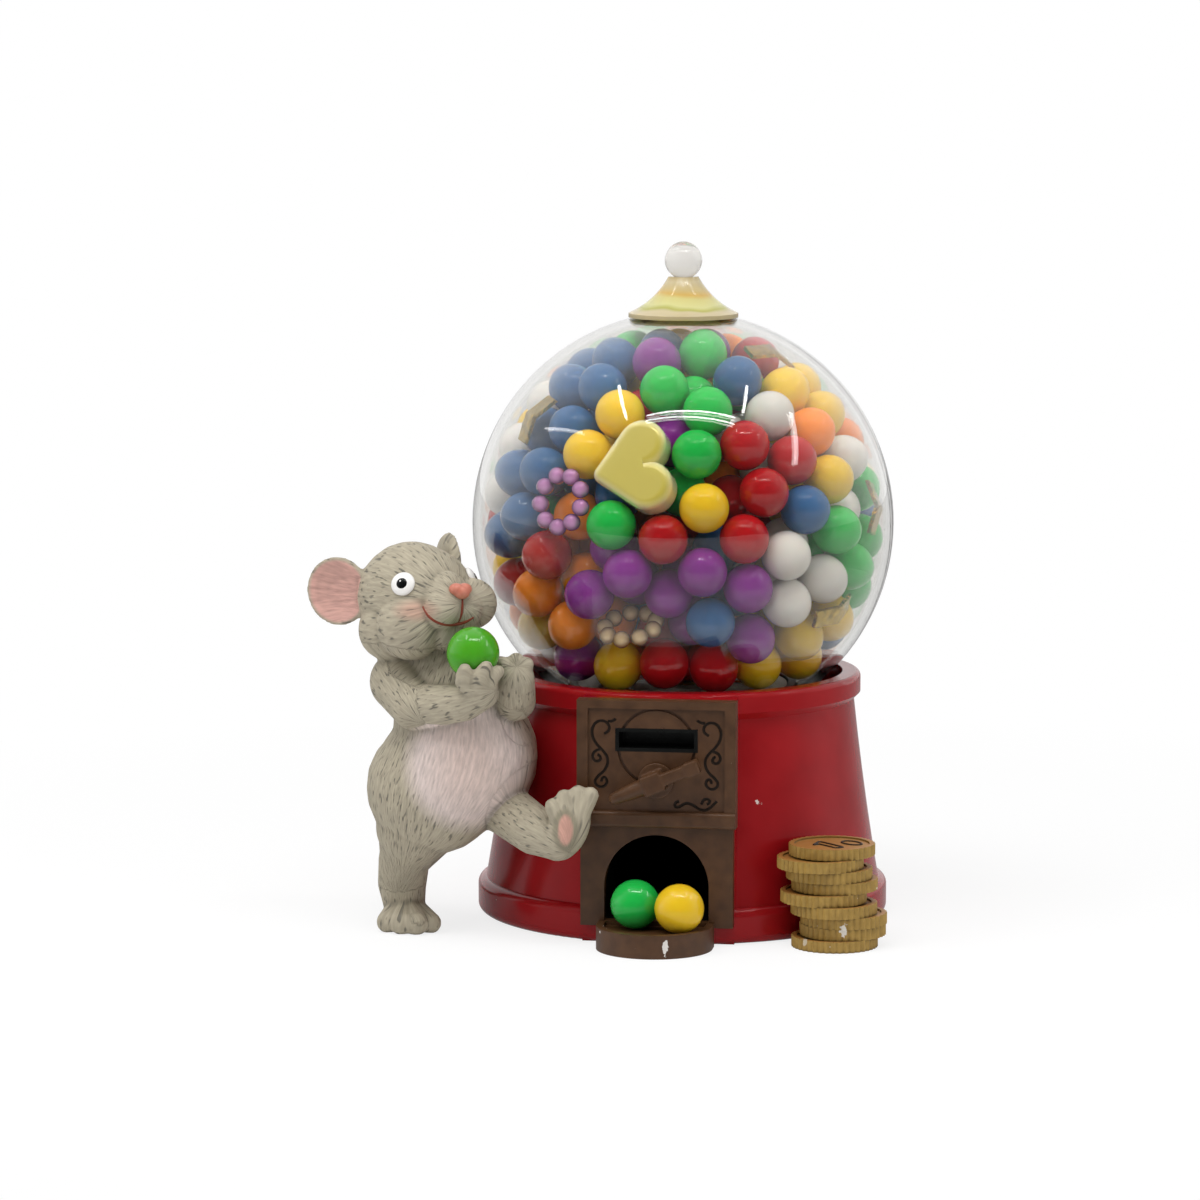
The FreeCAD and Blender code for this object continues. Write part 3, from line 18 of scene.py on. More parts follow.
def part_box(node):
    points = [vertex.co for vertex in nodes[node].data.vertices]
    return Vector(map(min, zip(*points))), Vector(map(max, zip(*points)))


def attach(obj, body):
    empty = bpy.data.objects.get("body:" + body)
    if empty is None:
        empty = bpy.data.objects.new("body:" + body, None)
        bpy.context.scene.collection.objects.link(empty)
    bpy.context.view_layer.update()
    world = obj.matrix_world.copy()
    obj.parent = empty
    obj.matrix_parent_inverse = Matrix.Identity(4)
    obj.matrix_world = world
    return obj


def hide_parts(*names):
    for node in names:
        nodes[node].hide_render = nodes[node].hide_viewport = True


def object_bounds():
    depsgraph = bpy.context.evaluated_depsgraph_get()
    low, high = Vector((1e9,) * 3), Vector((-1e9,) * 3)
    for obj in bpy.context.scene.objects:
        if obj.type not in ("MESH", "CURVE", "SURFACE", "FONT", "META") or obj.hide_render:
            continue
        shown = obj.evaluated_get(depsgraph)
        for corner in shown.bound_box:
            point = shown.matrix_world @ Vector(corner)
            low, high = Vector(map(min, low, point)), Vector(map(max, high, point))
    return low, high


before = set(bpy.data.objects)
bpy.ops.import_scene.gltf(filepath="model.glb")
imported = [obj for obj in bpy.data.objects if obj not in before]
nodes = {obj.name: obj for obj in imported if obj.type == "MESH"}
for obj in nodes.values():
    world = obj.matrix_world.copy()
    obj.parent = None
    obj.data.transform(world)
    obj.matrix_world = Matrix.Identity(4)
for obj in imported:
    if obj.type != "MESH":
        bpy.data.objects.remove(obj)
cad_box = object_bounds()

MM = 0.001
scene = bpy.context.scene
scene.view_settings.view_transform = "Standard"
print("CAD nodes:", len(nodes), "box:", [round(c / MM, 1) for c in cad_box[1] - cad_box[0]], "mm")

# %% [markdown]
# ## Camera
#
# The photograph is a close product shot: slightly from the right of the coin front and a little above it,
# with a long lens. A camera could be fitted by eye. Here its place follows from four numbers read off the
# picture: the bearing of the front, the tilt, the distance and the size of the globe in pixels.

# %% Camera at the photograph's viewing angle
BEARING = math.radians(8.0)
TILT = math.radians(7.4)
DISTANCE = 875 * MM
PIXELS_PER_MM = 6.0
FRAME_PIXELS = 1200
AIM_RIGHT = -13.8 * MM
AIM_HEIGHT = 51.9 * MM
RIGHT = Vector((math.cos(BEARING), math.sin(BEARING), 0))
TOWARD = Vector((math.sin(BEARING) * math.cos(TILT), -math.cos(BEARING) * math.cos(TILT), math.sin(TILT)))
UP = TOWARD.cross(RIGHT)
aim = RIGHT * AIM_RIGHT + Vector((0, 0, AIM_HEIGHT))
view_axes = Matrix((RIGHT, UP, TOWARD)).transposed().to_4x4()


def placed(name, data):
    """A new object in the scene that shows this camera, lamp, mesh or curve."""
    made = bpy.data.objects.new(name, data)
    scene.collection.objects.link(made)
    return made


camera = placed("camera", bpy.data.cameras.new("camera"))
camera.matrix_world = Matrix.Translation(aim + TOWARD * DISTANCE) @ view_axes
camera.data.angle = 2 * math.atan(FRAME_PIXELS / 2 / (PIXELS_PER_MM / MM * DISTANCE))
camera.data.clip_start = 10 * MM
scene.camera = camera
print("camera lens:", round(camera.data.lens, 1), "mm")

# %% [markdown]
# ## Nodes and colours
#
# Every finish below is a tree of shader nodes. One function adds a node, sets its properties and feeds
# its sockets, and one turns the hex colours that paint charts use into the linear values that a renderer
# works with.

# %% Helpers for the finishes
def linear(hex_colour):
    """An sRGB hex colour as linear RGBA."""
    shares = [int(hex_colour[i : i + 2], 16) / 255 for i in (1, 3, 5)]
    return [c / 12.92 if c <= 0.04045 else ((c + 0.055) / 1.055) ** 2.4 for c in shares] + [1.0]


def add(tree, kind, sockets=None, **settings):
    """Adds a node. Each socket gets a value, or a link if it is given another node's output."""
    node = tree.nodes.new("ShaderNode" + kind)
    for name, value in settings.items():
        setattr(node, name, value)
    for name, value in (sockets or {}).items():
        if isinstance(value, bpy.types.NodeSocket):
            tree.links.new(value, node.inputs[name])
        else:
            node.inputs[name].default_value = value
    return node


def finish(name, **sockets):
    """A new material and its shader, with the shader's plain values set."""
    made = bpy.data.materials.new(name)
    made.use_nodes = True
    shader = made.node_tree.nodes["Principled BSDF"]
    for socket, value in sockets.items():
        shader.inputs[socket.replace("_", " ")].default_value = value
    return made, made.node_tree, shader


def per_mm(size):
    """The texture scale that makes a pattern repeat about once in this many millimetres."""
    return 1 / (size * MM)


def paint(node_names, material):
    """Gives CAD nodes a finish, in every material slot that they have."""
    for name in node_names:
        for slot in nodes[name].material_slots:
            slot.material = material


print("CAD nodes to paint:", len(nodes))

# %% [markdown]
# ## Light, floor and background
#
# The ornament stood in a white light box: white all round, a soft light overhead and thin LED strips
# under the roof, which draw a bright frame on the globe. The box's front is open to a dim room, so what
# faces the camera mirrors little and keeps its colour, while edges mirror the white sides. The world is
# that white. The camera and clear edges see it in full. It lights the object less, so that colours come
# out as they are written, and what lies in the globe more, because beads shade one another. The floor is
# a white sheet with a soft shadow. Its front end lies in the dim room, so it is darker in reflections.

# %% White surroundings
AMBIENT = 0.5
ON_FILLING = 1.6
DIM_FRONT = 0.12
DIM_MIRRORED = 0.05
world = bpy.data.worlds.new("white_light_box")
scene.world = world
world.use_nodes = True
tree = world.node_tree
ways = add(tree, "TexCoord").outputs["Generated"]
front = add(tree, "VectorMath", {0: ways, 1: TOWARD}, operation="DOT_PRODUCT").outputs["Value"]


def walls(start, end, white, dim):
    """The box's brightness, from white to dim between two cosines: 1 faces the camera, 0 is a side."""
    ends = {"From Min": start, "From Max": end, "To Min": white, "To Max": dim}
    return add(tree, "MapRange", {"Value": front, **ends}).outputs[0]


path = add(tree, "LightPath").outputs
on_outside = walls(0.35, 0.8, AMBIENT, AMBIENT * DIM_FRONT)
in_reflections = walls(-0.15, 0.7, 1.0, DIM_MIRRORED)
lighting = add(tree, "Mix", {0: path["Is Transmission Ray"], 2: on_outside, 3: ON_FILLING}).outputs[0]
bounced = add(tree, "Math", {0: path["Diffuse Depth"], 1: 1.0}, operation="MINIMUM").outputs[0]
level = add(tree, "Mix", {0: bounced, 2: in_reflections, 3: lighting}).outputs[0]
level = add(tree, "Math", {0: level, 1: path["Is Camera Ray"]}, operation="MAXIMUM").outputs[0]
tree.links.new(level, tree.nodes["Background"].inputs["Strength"])
tree.nodes["Background"].inputs["Color"].default_value = linear("#FFFFFF")
print("world:", world.name)

# %% Soft lamp overhead and thin strips under the roof of the box
middle = Vector((0, 0, 60 * MM))
STRIP_AWAY = 500 * MM


def panel(name, wide, deep, watts):
    """A flat lamp that shines along its own -Z."""
    light = bpy.data.lights.new(name, "AREA")
    light.shape = "RECTANGLE"
    light.size, light.size_y = wide, deep
    light.energy = watts
    return placed(name, light)


def soft_panel(name, place, wide, deep, watts):
    """A lamp that is not seen in reflections or through clear plastic, in metres and watts."""
    made = panel(name, wide, deep, watts)
    made.location = place
    made.rotation_euler = (middle - Vector(place)).to_track_quat("-Z", "Y").to_euler()
    made.visible_glossy = False
    made.visible_transmission = False


def led_strip(name, start, end, wide, brightness):
    """A strip between two directions of the photograph from the object's middle, this many mm wide."""
    ends = [middle + (RIGHT * x + UP * y + TOWARD * z) * STRIP_AWAY for x, y, z in (start, end)]
    long = (ends[1] - ends[0]).length
    made = panel(name, long, wide * MM, brightness * math.pi * long * wide * MM)
    along = (ends[1] - ends[0]).normalized()
    back = (ends[0] + ends[1]) / 2 - middle
    back = (back - along * back.dot(along)).normalized()
    axes = Matrix((along, back.cross(along), back)).transposed().to_4x4()
    made.matrix_world = Matrix.Translation((ends[0] + ends[1]) / 2) @ axes


soft_panel("roof_panel", (-0.12, -0.26, 0.62), 0.5, 0.4, 2.3)
soft_panel("left_panel", (-0.55, -0.42, 0.3), 0.4, 0.5, 1.0)
soft_panel("right_panel", (0.55, -0.45, 0.25), 0.4, 0.5, 1.0)
led_strip("left_led_strip", (-0.42, 0.90, 0.06), (-0.44, 0.79, 0.43), 10, 24)
led_strip("right_led_strip", (0.42, 0.90, 0.08), (0.44, 0.81, 0.38), 10, 24)
led_strip("upper_led_strip", (-0.29, 0.82, 0.49), (0.39, 0.79, 0.46), 9, 26)
led_strip("lower_led_strip", (-0.30, 0.79, 0.53), (0.39, 0.76, 0.52), 9, 22)
led_strip("side_gap", (0.70, 0.72, 0.04), (0.83, 0.43, 0.36), 18, 9)
led_strip("corner_gap", (-0.81, 0.56, -0.17), (-0.72, 0.64, 0.25), 8, 7)

# %% White floor sheet
SHEET_SIZE = 4
SHEET_HEIGHT = -0.05 * MM
ROOM_STARTS, ROOM_DARK = 0.04, 0.12
SHADOW_NEAR, SHADOW_FAR = 0.07, 0.22
bpy.ops.mesh.primitive_plane_add(size=SHEET_SIZE, location=(0, 0, SHEET_HEIGHT))
floor = bpy.context.object
floor.name = "floor_sheet"
white_sheet, tree, shader = finish("white_paper", Roughness=0.9)
shader.inputs["Base Color"].default_value = linear("#F4F4F4")
spot = add(tree, "NewGeometry").outputs["Position"]
path = add(tree, "LightPath").outputs

# In reflections the sheet is dimmer, most of all at its front end.
mirrored = {0: path["Is Glossy Ray"], 1: path["Is Transmission Ray"]}
mirrored = add(tree, "Math", mirrored, operation="SUBTRACT", use_clamp=True).outputs[0]
ahead = add(tree, "VectorMath", {0: spot, 1: TOWARD}, operation="DOT_PRODUCT").outputs["Value"]
room = {"From Min": ROOM_STARTS, "From Max": ROOM_DARK, "To Min": 0.6, "To Max": 1 - DIM_FRONT}
loss = add(tree, "MapRange", {"Value": ahead, **room}).outputs[0]
loss = add(tree, "Math", {0: loss, 1: mirrored}, operation="MULTIPLY").outputs[0]
strength = add(tree, "Math", {0: 1.0, 1: loss}, operation="SUBTRACT").outputs[0]
glow = add(tree, "Emission", {"Color": linear("#FFFFFF"), "Strength": strength})

# Seen directly it is white, with a little of the object's shadow near it. Bounced light finds paper.
seen = {0: path["Is Camera Ray"], 1: path["Is Glossy Ray"]}
seen = add(tree, "Math", seen, operation="MAXIMUM").outputs[0]
seen = add(tree, "Math", {0: seen, 1: path["Is Transmission Ray"]}, operation="MAXIMUM").outputs[0]
reach = add(tree, "VectorMath", {0: spot}, operation="LENGTH").outputs["Value"]
far = {"From Min": SHADOW_NEAR, "From Max": SHADOW_FAR, "To Min": 0.8, "To Max": 1.0}
white = add(tree, "MapRange", {"Value": reach, **far}).outputs[0]
share = add(tree, "Math", {0: seen, 1: white}, operation="MULTIPLY").outputs[0]
both = add(tree, "MixShader", {0: share, 1: shader.outputs[0], 2: glow.outputs[0]})
tree.links.new(both.outputs[0], tree.nodes["Material Output"].inputs["Surface"])
floor.data.materials.append(white_sheet)
print("stage:", floor.name)

# %% [markdown]
# ## Painted resin
#
# The base and the coin front are cast resin with brushed-on enamel. Enamel levels out as it dries, so it
# is smooth and glossy, with a slight waviness from the casting under it. Handling leaves tiny pale chips
# and dust, which a Voronoi pattern scatters: each cell holds one speck, and only some cells show theirs.

# %% Slow changes that every surface has
def uneven(tree, shader, spread, gloss, relief):
    """Gives a shader what any moulded or painted surface has: slow changes of roughness and height.

    spread is the size of the changes and relief their height, both in mm. Returns the changes.
    """
    place = add(tree, "TexCoord").outputs["Object"]
    waves = add(tree, "TexNoise", {"Vector": place, "Scale": per_mm(spread), "Detail": 2.0}).outputs["Fac"]
    rough = add(tree, "MapRange", {"Value": waves, "To Min": gloss[0], "To Max": gloss[1]})
    tree.links.new(rough.outputs[0], shader.inputs["Roughness"])
    bump = add(tree, "Bump", {"Height": waves, "Distance": relief * MM})
    tree.links.new(bump.outputs["Normal"], shader.inputs["Normal"])
    return waves


def mottled(tree, shader, spread, colours, gloss, relief):
    """An uneven surface whose colour changes too, between the two given."""
    waves = uneven(tree, shader, spread, gloss, relief)
    ends = {6: linear(colours[0]), 7: linear(colours[1])}
    tone = add(tree, "Mix", {"Factor": waves, **ends}, data_type="RGBA")
    tree.links.new(tone.outputs[2], shader.inputs["Base Color"])


def plain_coat(name, *surface, **sockets):
    """A new material that is mottled and nothing more."""
    made, tree, shader = finish(name, **sockets)
    mottled(tree, shader, *surface)
    return made


print("plain surfaces can be uneven or mottled")

# %% Chips and worn spots
def painted_over(tree, shader, share, hex_colour):
    """Lays a colour over the one that a shader has, as much as the share says."""
    tone = shader.inputs["Base Color"].links[0].from_socket
    ends = {6: tone, 7: linear(hex_colour)}
    over = add(tree, "Mix", {"Factor": share, **ends}, data_type="RGBA")
    tree.links.new(over.outputs[2], shader.inputs["Base Color"])


def chipped(tree, shader, spacing, largest, under):
    """Scatters pale specks over a paint: about one in each cell of this spacing, up to this size, in mm."""
    place = add(tree, "TexCoord").outputs["Object"]
    cells = add(tree, "TexVoronoi", {"Vector": place, "Scale": per_mm(spacing)})
    chance = add(tree, "SeparateColor", {"Color": cells.outputs["Color"]}).outputs["Red"]
    rare = add(tree, "Math", {0: chance, 1: 3.0}, operation="POWER").outputs[0]
    size = add(tree, "Math", {0: rare, 1: largest / spacing / 2}, operation="MULTIPLY").outputs[0]
    chip = add(tree, "Math", {0: cells.outputs["Distance"], 1: size}, operation="LESS_THAN").outputs[0]
    painted_over(tree, shader, chip, under)


def worn_spot(tree, shader, place, sizes, under):
    """Wears one ragged spot through the paint. The place and the sizes across, deep and up are in mm."""
    spot = add(tree, "TexCoord").outputs["Object"]
    away = add(tree, "VectorMath", {0: spot, 1: Vector(place) * MM}, operation="SUBTRACT").outputs[0]
    scales = [2 * per_mm(size) for size in sizes]
    shares = add(tree, "VectorMath", {0: away, 1: scales}, operation="MULTIPLY").outputs[0]
    reach = add(tree, "VectorMath", {0: shares}, operation="LENGTH").outputs["Value"]
    ragged = add(tree, "TexNoise", {"Vector": spot, "Scale": per_mm(0.6), "Detail": 2.0}).outputs["Fac"]
    edge = add(tree, "Math", {0: ragged, 1: 2.0, 2: reach}, operation="MULTIPLY_ADD").outputs[0]
    ends = {"From Min": 1.95, "From Max": 2.05, "To Min": 1.0, "To Max": 0.0}
    bare = add(tree, "MapRange", {"Value": edge, **ends}).outputs[0]
    painted_over(tree, shader, bare, under)


print("paint can be chipped and worn")

# %% Red gloss enamel on cast resin
# A glossy paint: one strong colour, a clear reflection of the box at grazing angles and a few chips.
red_enamel, tree, shader = finish("red_gloss_enamel", IOR=1.5, Specular_IOR_Level=0.24)
mottled(tree, shader, 7.0, ("#820D12", "#A0161C"), (0.12, 0.24), 0.05)
chipped(tree, shader, 4.0, 0.45, "#CDB9B2")
worn_spot(tree, shader, (15.9, -26.9, 22.4), (1.5, 3.0, 0.9), "#D8CCC6")
paint(["base_housing", "bottom_cover"], red_enamel)
print("base:", red_enamel.name)

# %% Brown satin paint on cast resin
# A matt brown brushed over a darker coat, so that it varies in streaks.
brown_satin, tree, shader = finish("brown_satin_paint", IOR=1.5)
mottled(tree, shader, 2.2, ("#392314", "#5E3F26"), (0.36, 0.52), 0.05)
chipped(tree, shader, 3.4, 0.4, "#B4A392")
worn_spot(tree, shader, (3.0, -45.5, 1.9), (0.8, 2.0, 2.8), "#DAD6D0")
worn_spot(tree, shader, (-8.0, -38.5, 3.3), (0.9, 5.0, 0.8), "#DAD6D0")
worn_spot(tree, shader, (6.4, -44.5, 2.1), (0.3, 2.0, 1.2), "#C6BEB4")
paint(["coin_panel", "chute_panel", "delivery_tray", "crank_handle"], brown_satin)
print("coin front:", brown_satin.name)

# %% Black gloss paint
# Brushed on by hand in the coin slot and the chute, so its sheen is uneven.
black_gloss = plain_coat("black_gloss_paint", 1.6, ("#050606", "#0F110F"), (0.2, 0.42), 0.06, IOR=1.5)
paint(["coin_slot_liner", "delivery_duct"], black_gloss)
print("slot and chute:", black_gloss.name)

# %% [markdown]
# ## Beads
#
# The gumballs are moulded polystyrene beads, 8 mm across, in seven colours. Polystyrene is glossy and
# lets a little light into its surface, which softens the shading. No two batches have quite the same
# shade, so each bead takes a slightly different one: Geometry's Random Per Island gives one number for
# each separate ball of a mesh.

# %% Glossy bead plastic in seven colours
BEAD_COLOURS = {
    "red": "#A61017",
    "orange": "#EC8420",
    "yellow": "#DFB722",
    "green": "#1FAE47",
    "blue": "#245788",
    "purple": "#7A2284",
    "white": "#D4D0CA",
}


def bead_plastic(name, colour):
    """Polystyrene of one colour, with a slightly different shade for each bead."""
    made, tree, shader = finish(name, IOR=1.55, Subsurface_Weight=0.12, Subsurface_Scale=0.8 * MM)
    chance = add(tree, "NewGeometry").outputs["Random Per Island"]
    shade = add(tree, "MapRange", {"Value": chance, "To Min": 0.88, "To Max": 1.06})
    tint = add(tree, "HueSaturation", {"Value": shade.outputs[0], "Color": linear(colour)})
    tree.links.new(tint.outputs[0], shader.inputs["Base Color"])
    uneven(tree, shader, 2.5, (0.06, 0.12), 0.02)
    return made


beads = {name: bead_plastic(name + "_polystyrene", colour) for name, colour in BEAD_COLOURS.items()}
for name, plastic in beads.items():
    paint(["gumballs_" + name], plastic)
paint(["pocket_gumballs"], beads["orange"])
paint(["tray_gumball_green"], beads["green"])
paint(["tray_gumball_yellow"], beads["yellow"])
paint(["held_gumball"], bead_plastic("lime_polystyrene", "#489B22"))
print("bead plastics:", len(beads) + 1)

# %% [markdown]
# ### Pearl beads and foil
#
# A heart, two rings and scraps of gold foil lie among the gumballs. Bead makers dip plastic in a lacquer
# with mica flakes, which shine most where they face the eye. That sheen is painted into the colour, and so
# is the edge: painted shade darkens the rings' edges and a painted reflection pales the heart's. A texture
# would not move when the bead turns, so Layer Weight measures how far the surface is turned away. Foil is
# thin metallised film, crumpled. A bump as deep as its creases makes each facet a small mirror.

# %% Pearl lacquer
# Two glosses, one over the other: a soft one from the flakes and a clear one from the lacquer.
def pearl_lacquer(name, edge, face):
    """Mica lacquer with a painted sheen: one colour where it faces the eye and another at the edge."""
    made, tree, shader = finish(name, IOR=1.6, Metallic=0.25, Coat_Weight=1.0, Coat_Roughness=0.08)
    uneven(tree, shader, 1.8, (0.16, 0.26), 0.015)
    turned = add(tree, "LayerWeight", {"Blend": 0.7}).outputs["Facing"]
    ends = {6: linear(face), 7: linear(edge)}
    tone = add(tree, "Mix", {"Factor": turned, **ends}, data_type="RGBA")
    tree.links.new(tone.outputs[2], shader.inputs["Base Color"])
    return made


# The heart's pale edge is a painted reflection.
paint(["heart_bead"], pearl_lacquer("yellow_pearl_lacquer", "#F2EBC2", "#D3C352"))
# The rings' dark edges are painted shade.
paint(["pearl_ring_pink"], pearl_lacquer("lilac_pearl_lacquer", "#5E2862", "#CE90C8"))
paint(["pearl_ring_cream"], pearl_lacquer("cream_pearl_lacquer", "#6E4E2C", "#E0C496"))
print("heart and rings lacquered")

# %% Gold foil
# A metal: flat mirrors at slightly different angles, so some are bright and some nearly black.
gold_foil = plain_coat("crumpled_gold_foil", 1.1, ("#4E3A12", "#EACB66"), (0.05, 0.14), 0.8, Metallic=1.0)
paint(["gold_foil_chips"], gold_foil)
print("foil:", gold_foil.name)

# %% [markdown]
# ## Clear plastic
#
# The globe is blown clear acrylic, 1.3 mm thick, the ball on the lid is solid, and the lid is tinted like
# honey. Acrylic bends light a little less than glass. A renderer finds the bent paths of light through a
# shell only by chance, so shadow rays pass the globe straight and light the beads without grain.

# %% Clear acrylic of the globe and the ball
# Blown acrylic is as smooth as glass and all but colourless. The cast ball is a little cloudy.
clear_acrylic, tree, shader = finish("clear_acrylic", IOR=1.49, Roughness=0.0, Transmission_Weight=1.0)
shader.inputs["Base Color"].default_value = linear("#EBEAE7")
lets_through = add(tree, "BsdfTransparent", {"Color": linear("#F6F6F5")})
in_shadow = add(tree, "LightPath").outputs["Is Shadow Ray"]
both = add(tree, "MixShader", {0: in_shadow, 1: shader.outputs[0], 2: lets_through.outputs[0]})
tree.links.new(both.outputs[0], tree.nodes["Material Output"].inputs["Surface"])
paint(["globe"], clear_acrylic)
ball_acrylic = plain_coat(
    "cast_acrylic_ball", 1.5, ("#E4E0DA", "#F3F1ED"), (0.05, 0.14), 0.02,
    IOR=1.49, Transmission_Weight=0.75,
)
paint(["lid_finial"], ball_acrylic)
print("clear:", clear_acrylic.name, ball_acrylic.name)

# %% [markdown]
# ### Honey-tinted lid
#
# The lid is acrylic too. The tint was poured in while it was stirred, so it lies in bands: beige,
# green-gold and amber. Each band could be a shape of its own. A colour ramp over the lid's height, bent a
# little by noise, gives them the soft, wandering edges of a pour.

# %% Honey-tinted lid
# Cloudy acrylic: it glows with its own colour and shows only a hint of what is behind it.
LID_BANDS = (
    (0.00, "#CFC07C"), (0.14, "#C4BA66"), (0.20, "#DCCB9E"), (0.34, "#DECDA2"),
    (0.39, "#BFBE5A"), (0.46, "#E4E09A"), (0.60, "#E0D68C"), (0.68, "#E0B964"),
    (0.76, "#D8C38A"), (0.90, "#DFCFA6"), (1.00, "#CDB988"),
)
STIR = 0.16
honey_acrylic, tree, shader = finish("honey_acrylic", IOR=1.49, Transmission_Weight=0.35)
uneven(tree, shader, 3.0, (0.06, 0.16), 0.03)
places = add(tree, "TexCoord").outputs
swirl = {"Vector": places["Object"], "Scale": per_mm(6.0), "Detail": 1.0}
swirl = add(tree, "TexNoise", swirl).outputs["Fac"]
height = add(tree, "SeparateXYZ", {"Vector": places["Generated"]}).outputs["Z"]
height = add(tree, "Math", {0: swirl, 1: STIR, 2: height}, operation="MULTIPLY_ADD").outputs[0]
height = add(tree, "Math", {0: height, 1: STIR / 2}, operation="SUBTRACT").outputs[0]
ramp = add(tree, "ValToRGB", {"Fac": height})
for share, _ in LID_BANDS[1:-1]:
    ramp.color_ramp.elements.new(share)
for stop, (share, colour) in zip(ramp.color_ramp.elements, LID_BANDS):
    stop.position = share
    stop.color = linear(colour)
tree.links.new(ramp.outputs["Color"], shader.inputs["Base Color"])
paint(["lid_cap"], honey_acrylic)
print("lid bands:", len(LID_BANDS))

# %% [markdown]
# ## Working parts
#
# The mechanism inside is plain: white acetal for what turns and meshes, black acetal for the floor that
# the beads lie on, whose black is painted shade in the gaps between the beads, brass and steel for shafts
# and screws, and a rubber ring under the globe. Most of it shows only when the model is taken apart.

# %% Acetal, moulded
# A waxy, slightly translucent plastic with a satin surface from the mould.
white_acetal = plain_coat(
    "white_acetal", 0.8, ("#D9D7D1", "#E8E6E0"), (0.32, 0.45), 0.01,
    IOR=1.48, Subsurface_Weight=0.1, Subsurface_Scale=MM,
)
# The floor under the beads and the pocket guard are black as painted shade in the gaps between the beads.
shade_black_acetal = plain_coat("shade_black_acetal", 0.8, ("#14110F", "#231E1A"), (0.32, 0.45), 0.01, IOR=1.48)
paint(["dispensing_wheel", "drive_pinion", "thrust_washer"], white_acetal)
paint(["hopper_floor", "pocket_guard"], shade_black_acetal)
print("acetal:", white_acetal.name, shade_black_acetal.name)

# %% Turned brass, zinc-plated steel and rubber
# Turning leaves brass with a fine satin shine, plated screws are brighter, and rubber is dull and black.
turned_brass = plain_coat("turned_brass", 0.5, ("#A98A45", "#C7A75C"), (0.22, 0.36), 0.01, Metallic=1.0)
bright_steel = plain_coat("zinc_plated_steel", 0.6, ("#9C9EA0", "#BEC0C2"), (0.25, 0.4), 0.01, Metallic=1.0)
black_rubber = plain_coat("black_rubber", 0.4, ("#141414", "#232322"), (0.6, 0.8), 0.02, IOR=1.52)
paint(["crank_bush", "wheel_axle"], turned_brass)
paint(["crank_shaft", "bottom_screws", "hopper_screws"], bright_steel)
paint(["globe_gasket"], black_rubber)
print("metals and rubber:", turned_brass.name, bright_steel.name, black_rubber.name)

# %% [markdown]
# ## Coins
#
# The coins are cast resin with gold hobby paint over a brown coat. The reeds on their edges are in the
# CAD model. The paint could be one colour, but a painter's brush skips the gaps between the reeds, so the
# brown shows there, and painted shade darkens them further. Ambient occlusion finds those gaps: it tells
# how much of the sky a place can see.

# %% Painted gold of the coins
# A soft metallic sheen, browner on the flat faces; brown coat and painted shade between the reeds.
coin_gold, tree, shader = finish("gold_hobby_paint", IOR=1.5, Metallic=0.2)
mottled(tree, shader, 1.4, ("#8E7036", "#BD9B52"), (0.4, 0.56), 0.08)
facing_up = add(tree, "SeparateXYZ", {"Vector": add(tree, "NewGeometry").outputs["Normal"]}).outputs["Z"]
flat = {"From Min": 0.6, "From Max": 0.9, "To Max": 0.8}
flat = add(tree, "MapRange", {"Value": facing_up, **flat}).outputs[0]
painted_over(tree, shader, flat, "#A06D35")
# Painted shade: where little sky is seen between the reeds, the paint turns a darker brown.
open_sky = add(tree, "AmbientOcclusion", {"Distance": 0.6 * MM}, samples=8).outputs["AO"]
gap_coat_and_shade = {"From Min": 0.5, "From Max": 0.9, "To Min": 0.75, "To Max": 0.0}
gap_coat_and_shade = add(tree, "MapRange", {"Value": open_sky, **gap_coat_and_shade}).outputs[0]
painted_over(tree, shader, gap_coat_and_shade, "#4A3A16")
chipped(tree, shader, 2.2, 0.4, "#D9CDB4")
worn_spot(tree, shader, (30.6, -36.0, 3.6), (1.2, 4.0, 2.0), "#E2DDD4")
worn_spot(tree, shader, (24.3, -35.0, 1.4), (0.8, 4.0, 1.1), "#CBBFA8")
paint(["coin_stack"], coin_gold)
print("coin paint:", coin_gold.name)

# %% [markdown]
# ## Engraved coin plate and numbered coin
#
# The plate carries scrolls like those on old tin plates, drawn into the clay with a needle. They could be
# a texture, but real grooves catch the light and stay in the mesh. Each stroke is a thin tube along a
# smooth curve, and a Boolean takes it out of a copy of the plate. One side is drawn and the other is its
# mirror image. Brown wash was wiped over the plate and stays in the grooves, where its near-black is also
# painted shade. The number on the top coin is the same wash, laid on with a pen.

# %% Strokes, in mm right of the plate's middle and above the floor
MAIN_SCROLL = (
    (-8.5, 34.4), (-7.7, 34.8), (-7.6, 35.8), (-8.5, 36.6), (-9.8, 36.4), (-10.5, 35.2), (-10.4, 33.8),
    (-9.6, 32.5), (-8.6, 31.6), (-7.9, 30.6), (-7.9, 29.4), (-8.5, 28.3), (-9.5, 27.5), (-10.1, 26.6),
    (-9.6, 25.8), (-8.6, 25.7), (-7.9, 26.5), (-8.3, 27.4), (-8.9, 27.2), (-8.9, 26.6),
)
SIDE_CURL = (
    (-8.8, 31.9), (-9.9, 31.8), (-10.5, 30.7), (-9.9, 29.8), (-9.0, 30.1), (-9.2, 30.9), (-9.6, 31.0),
)
TOP_HOOK = ((-6.6, 36.9), (-7.2, 36.3), (-7.9, 36.5))
FLOURISH = (
    (3.7, 23.7), (3.0, 23.5), (3.0, 22.7), (3.7, 22.7), (4.8, 23.5), (6.0, 23.1), (7.1, 22.3), (8.5, 22.3),
    (9.8, 23.8),
)
FLOURISH_CURL = ((7.3, 23.2), (7.5, 24.0), (8.4, 24.2), (8.8, 23.6), (8.2, 23.2))
left_side = [MAIN_SCROLL, SIDE_CURL, TOP_HOOK]
right_side = [tuple((-x, z) for x, z in stroke) for stroke in left_side]
strokes = [*left_side, *right_side, FLOURISH, FLOURISH_CURL]
print("strokes:", len(strokes))

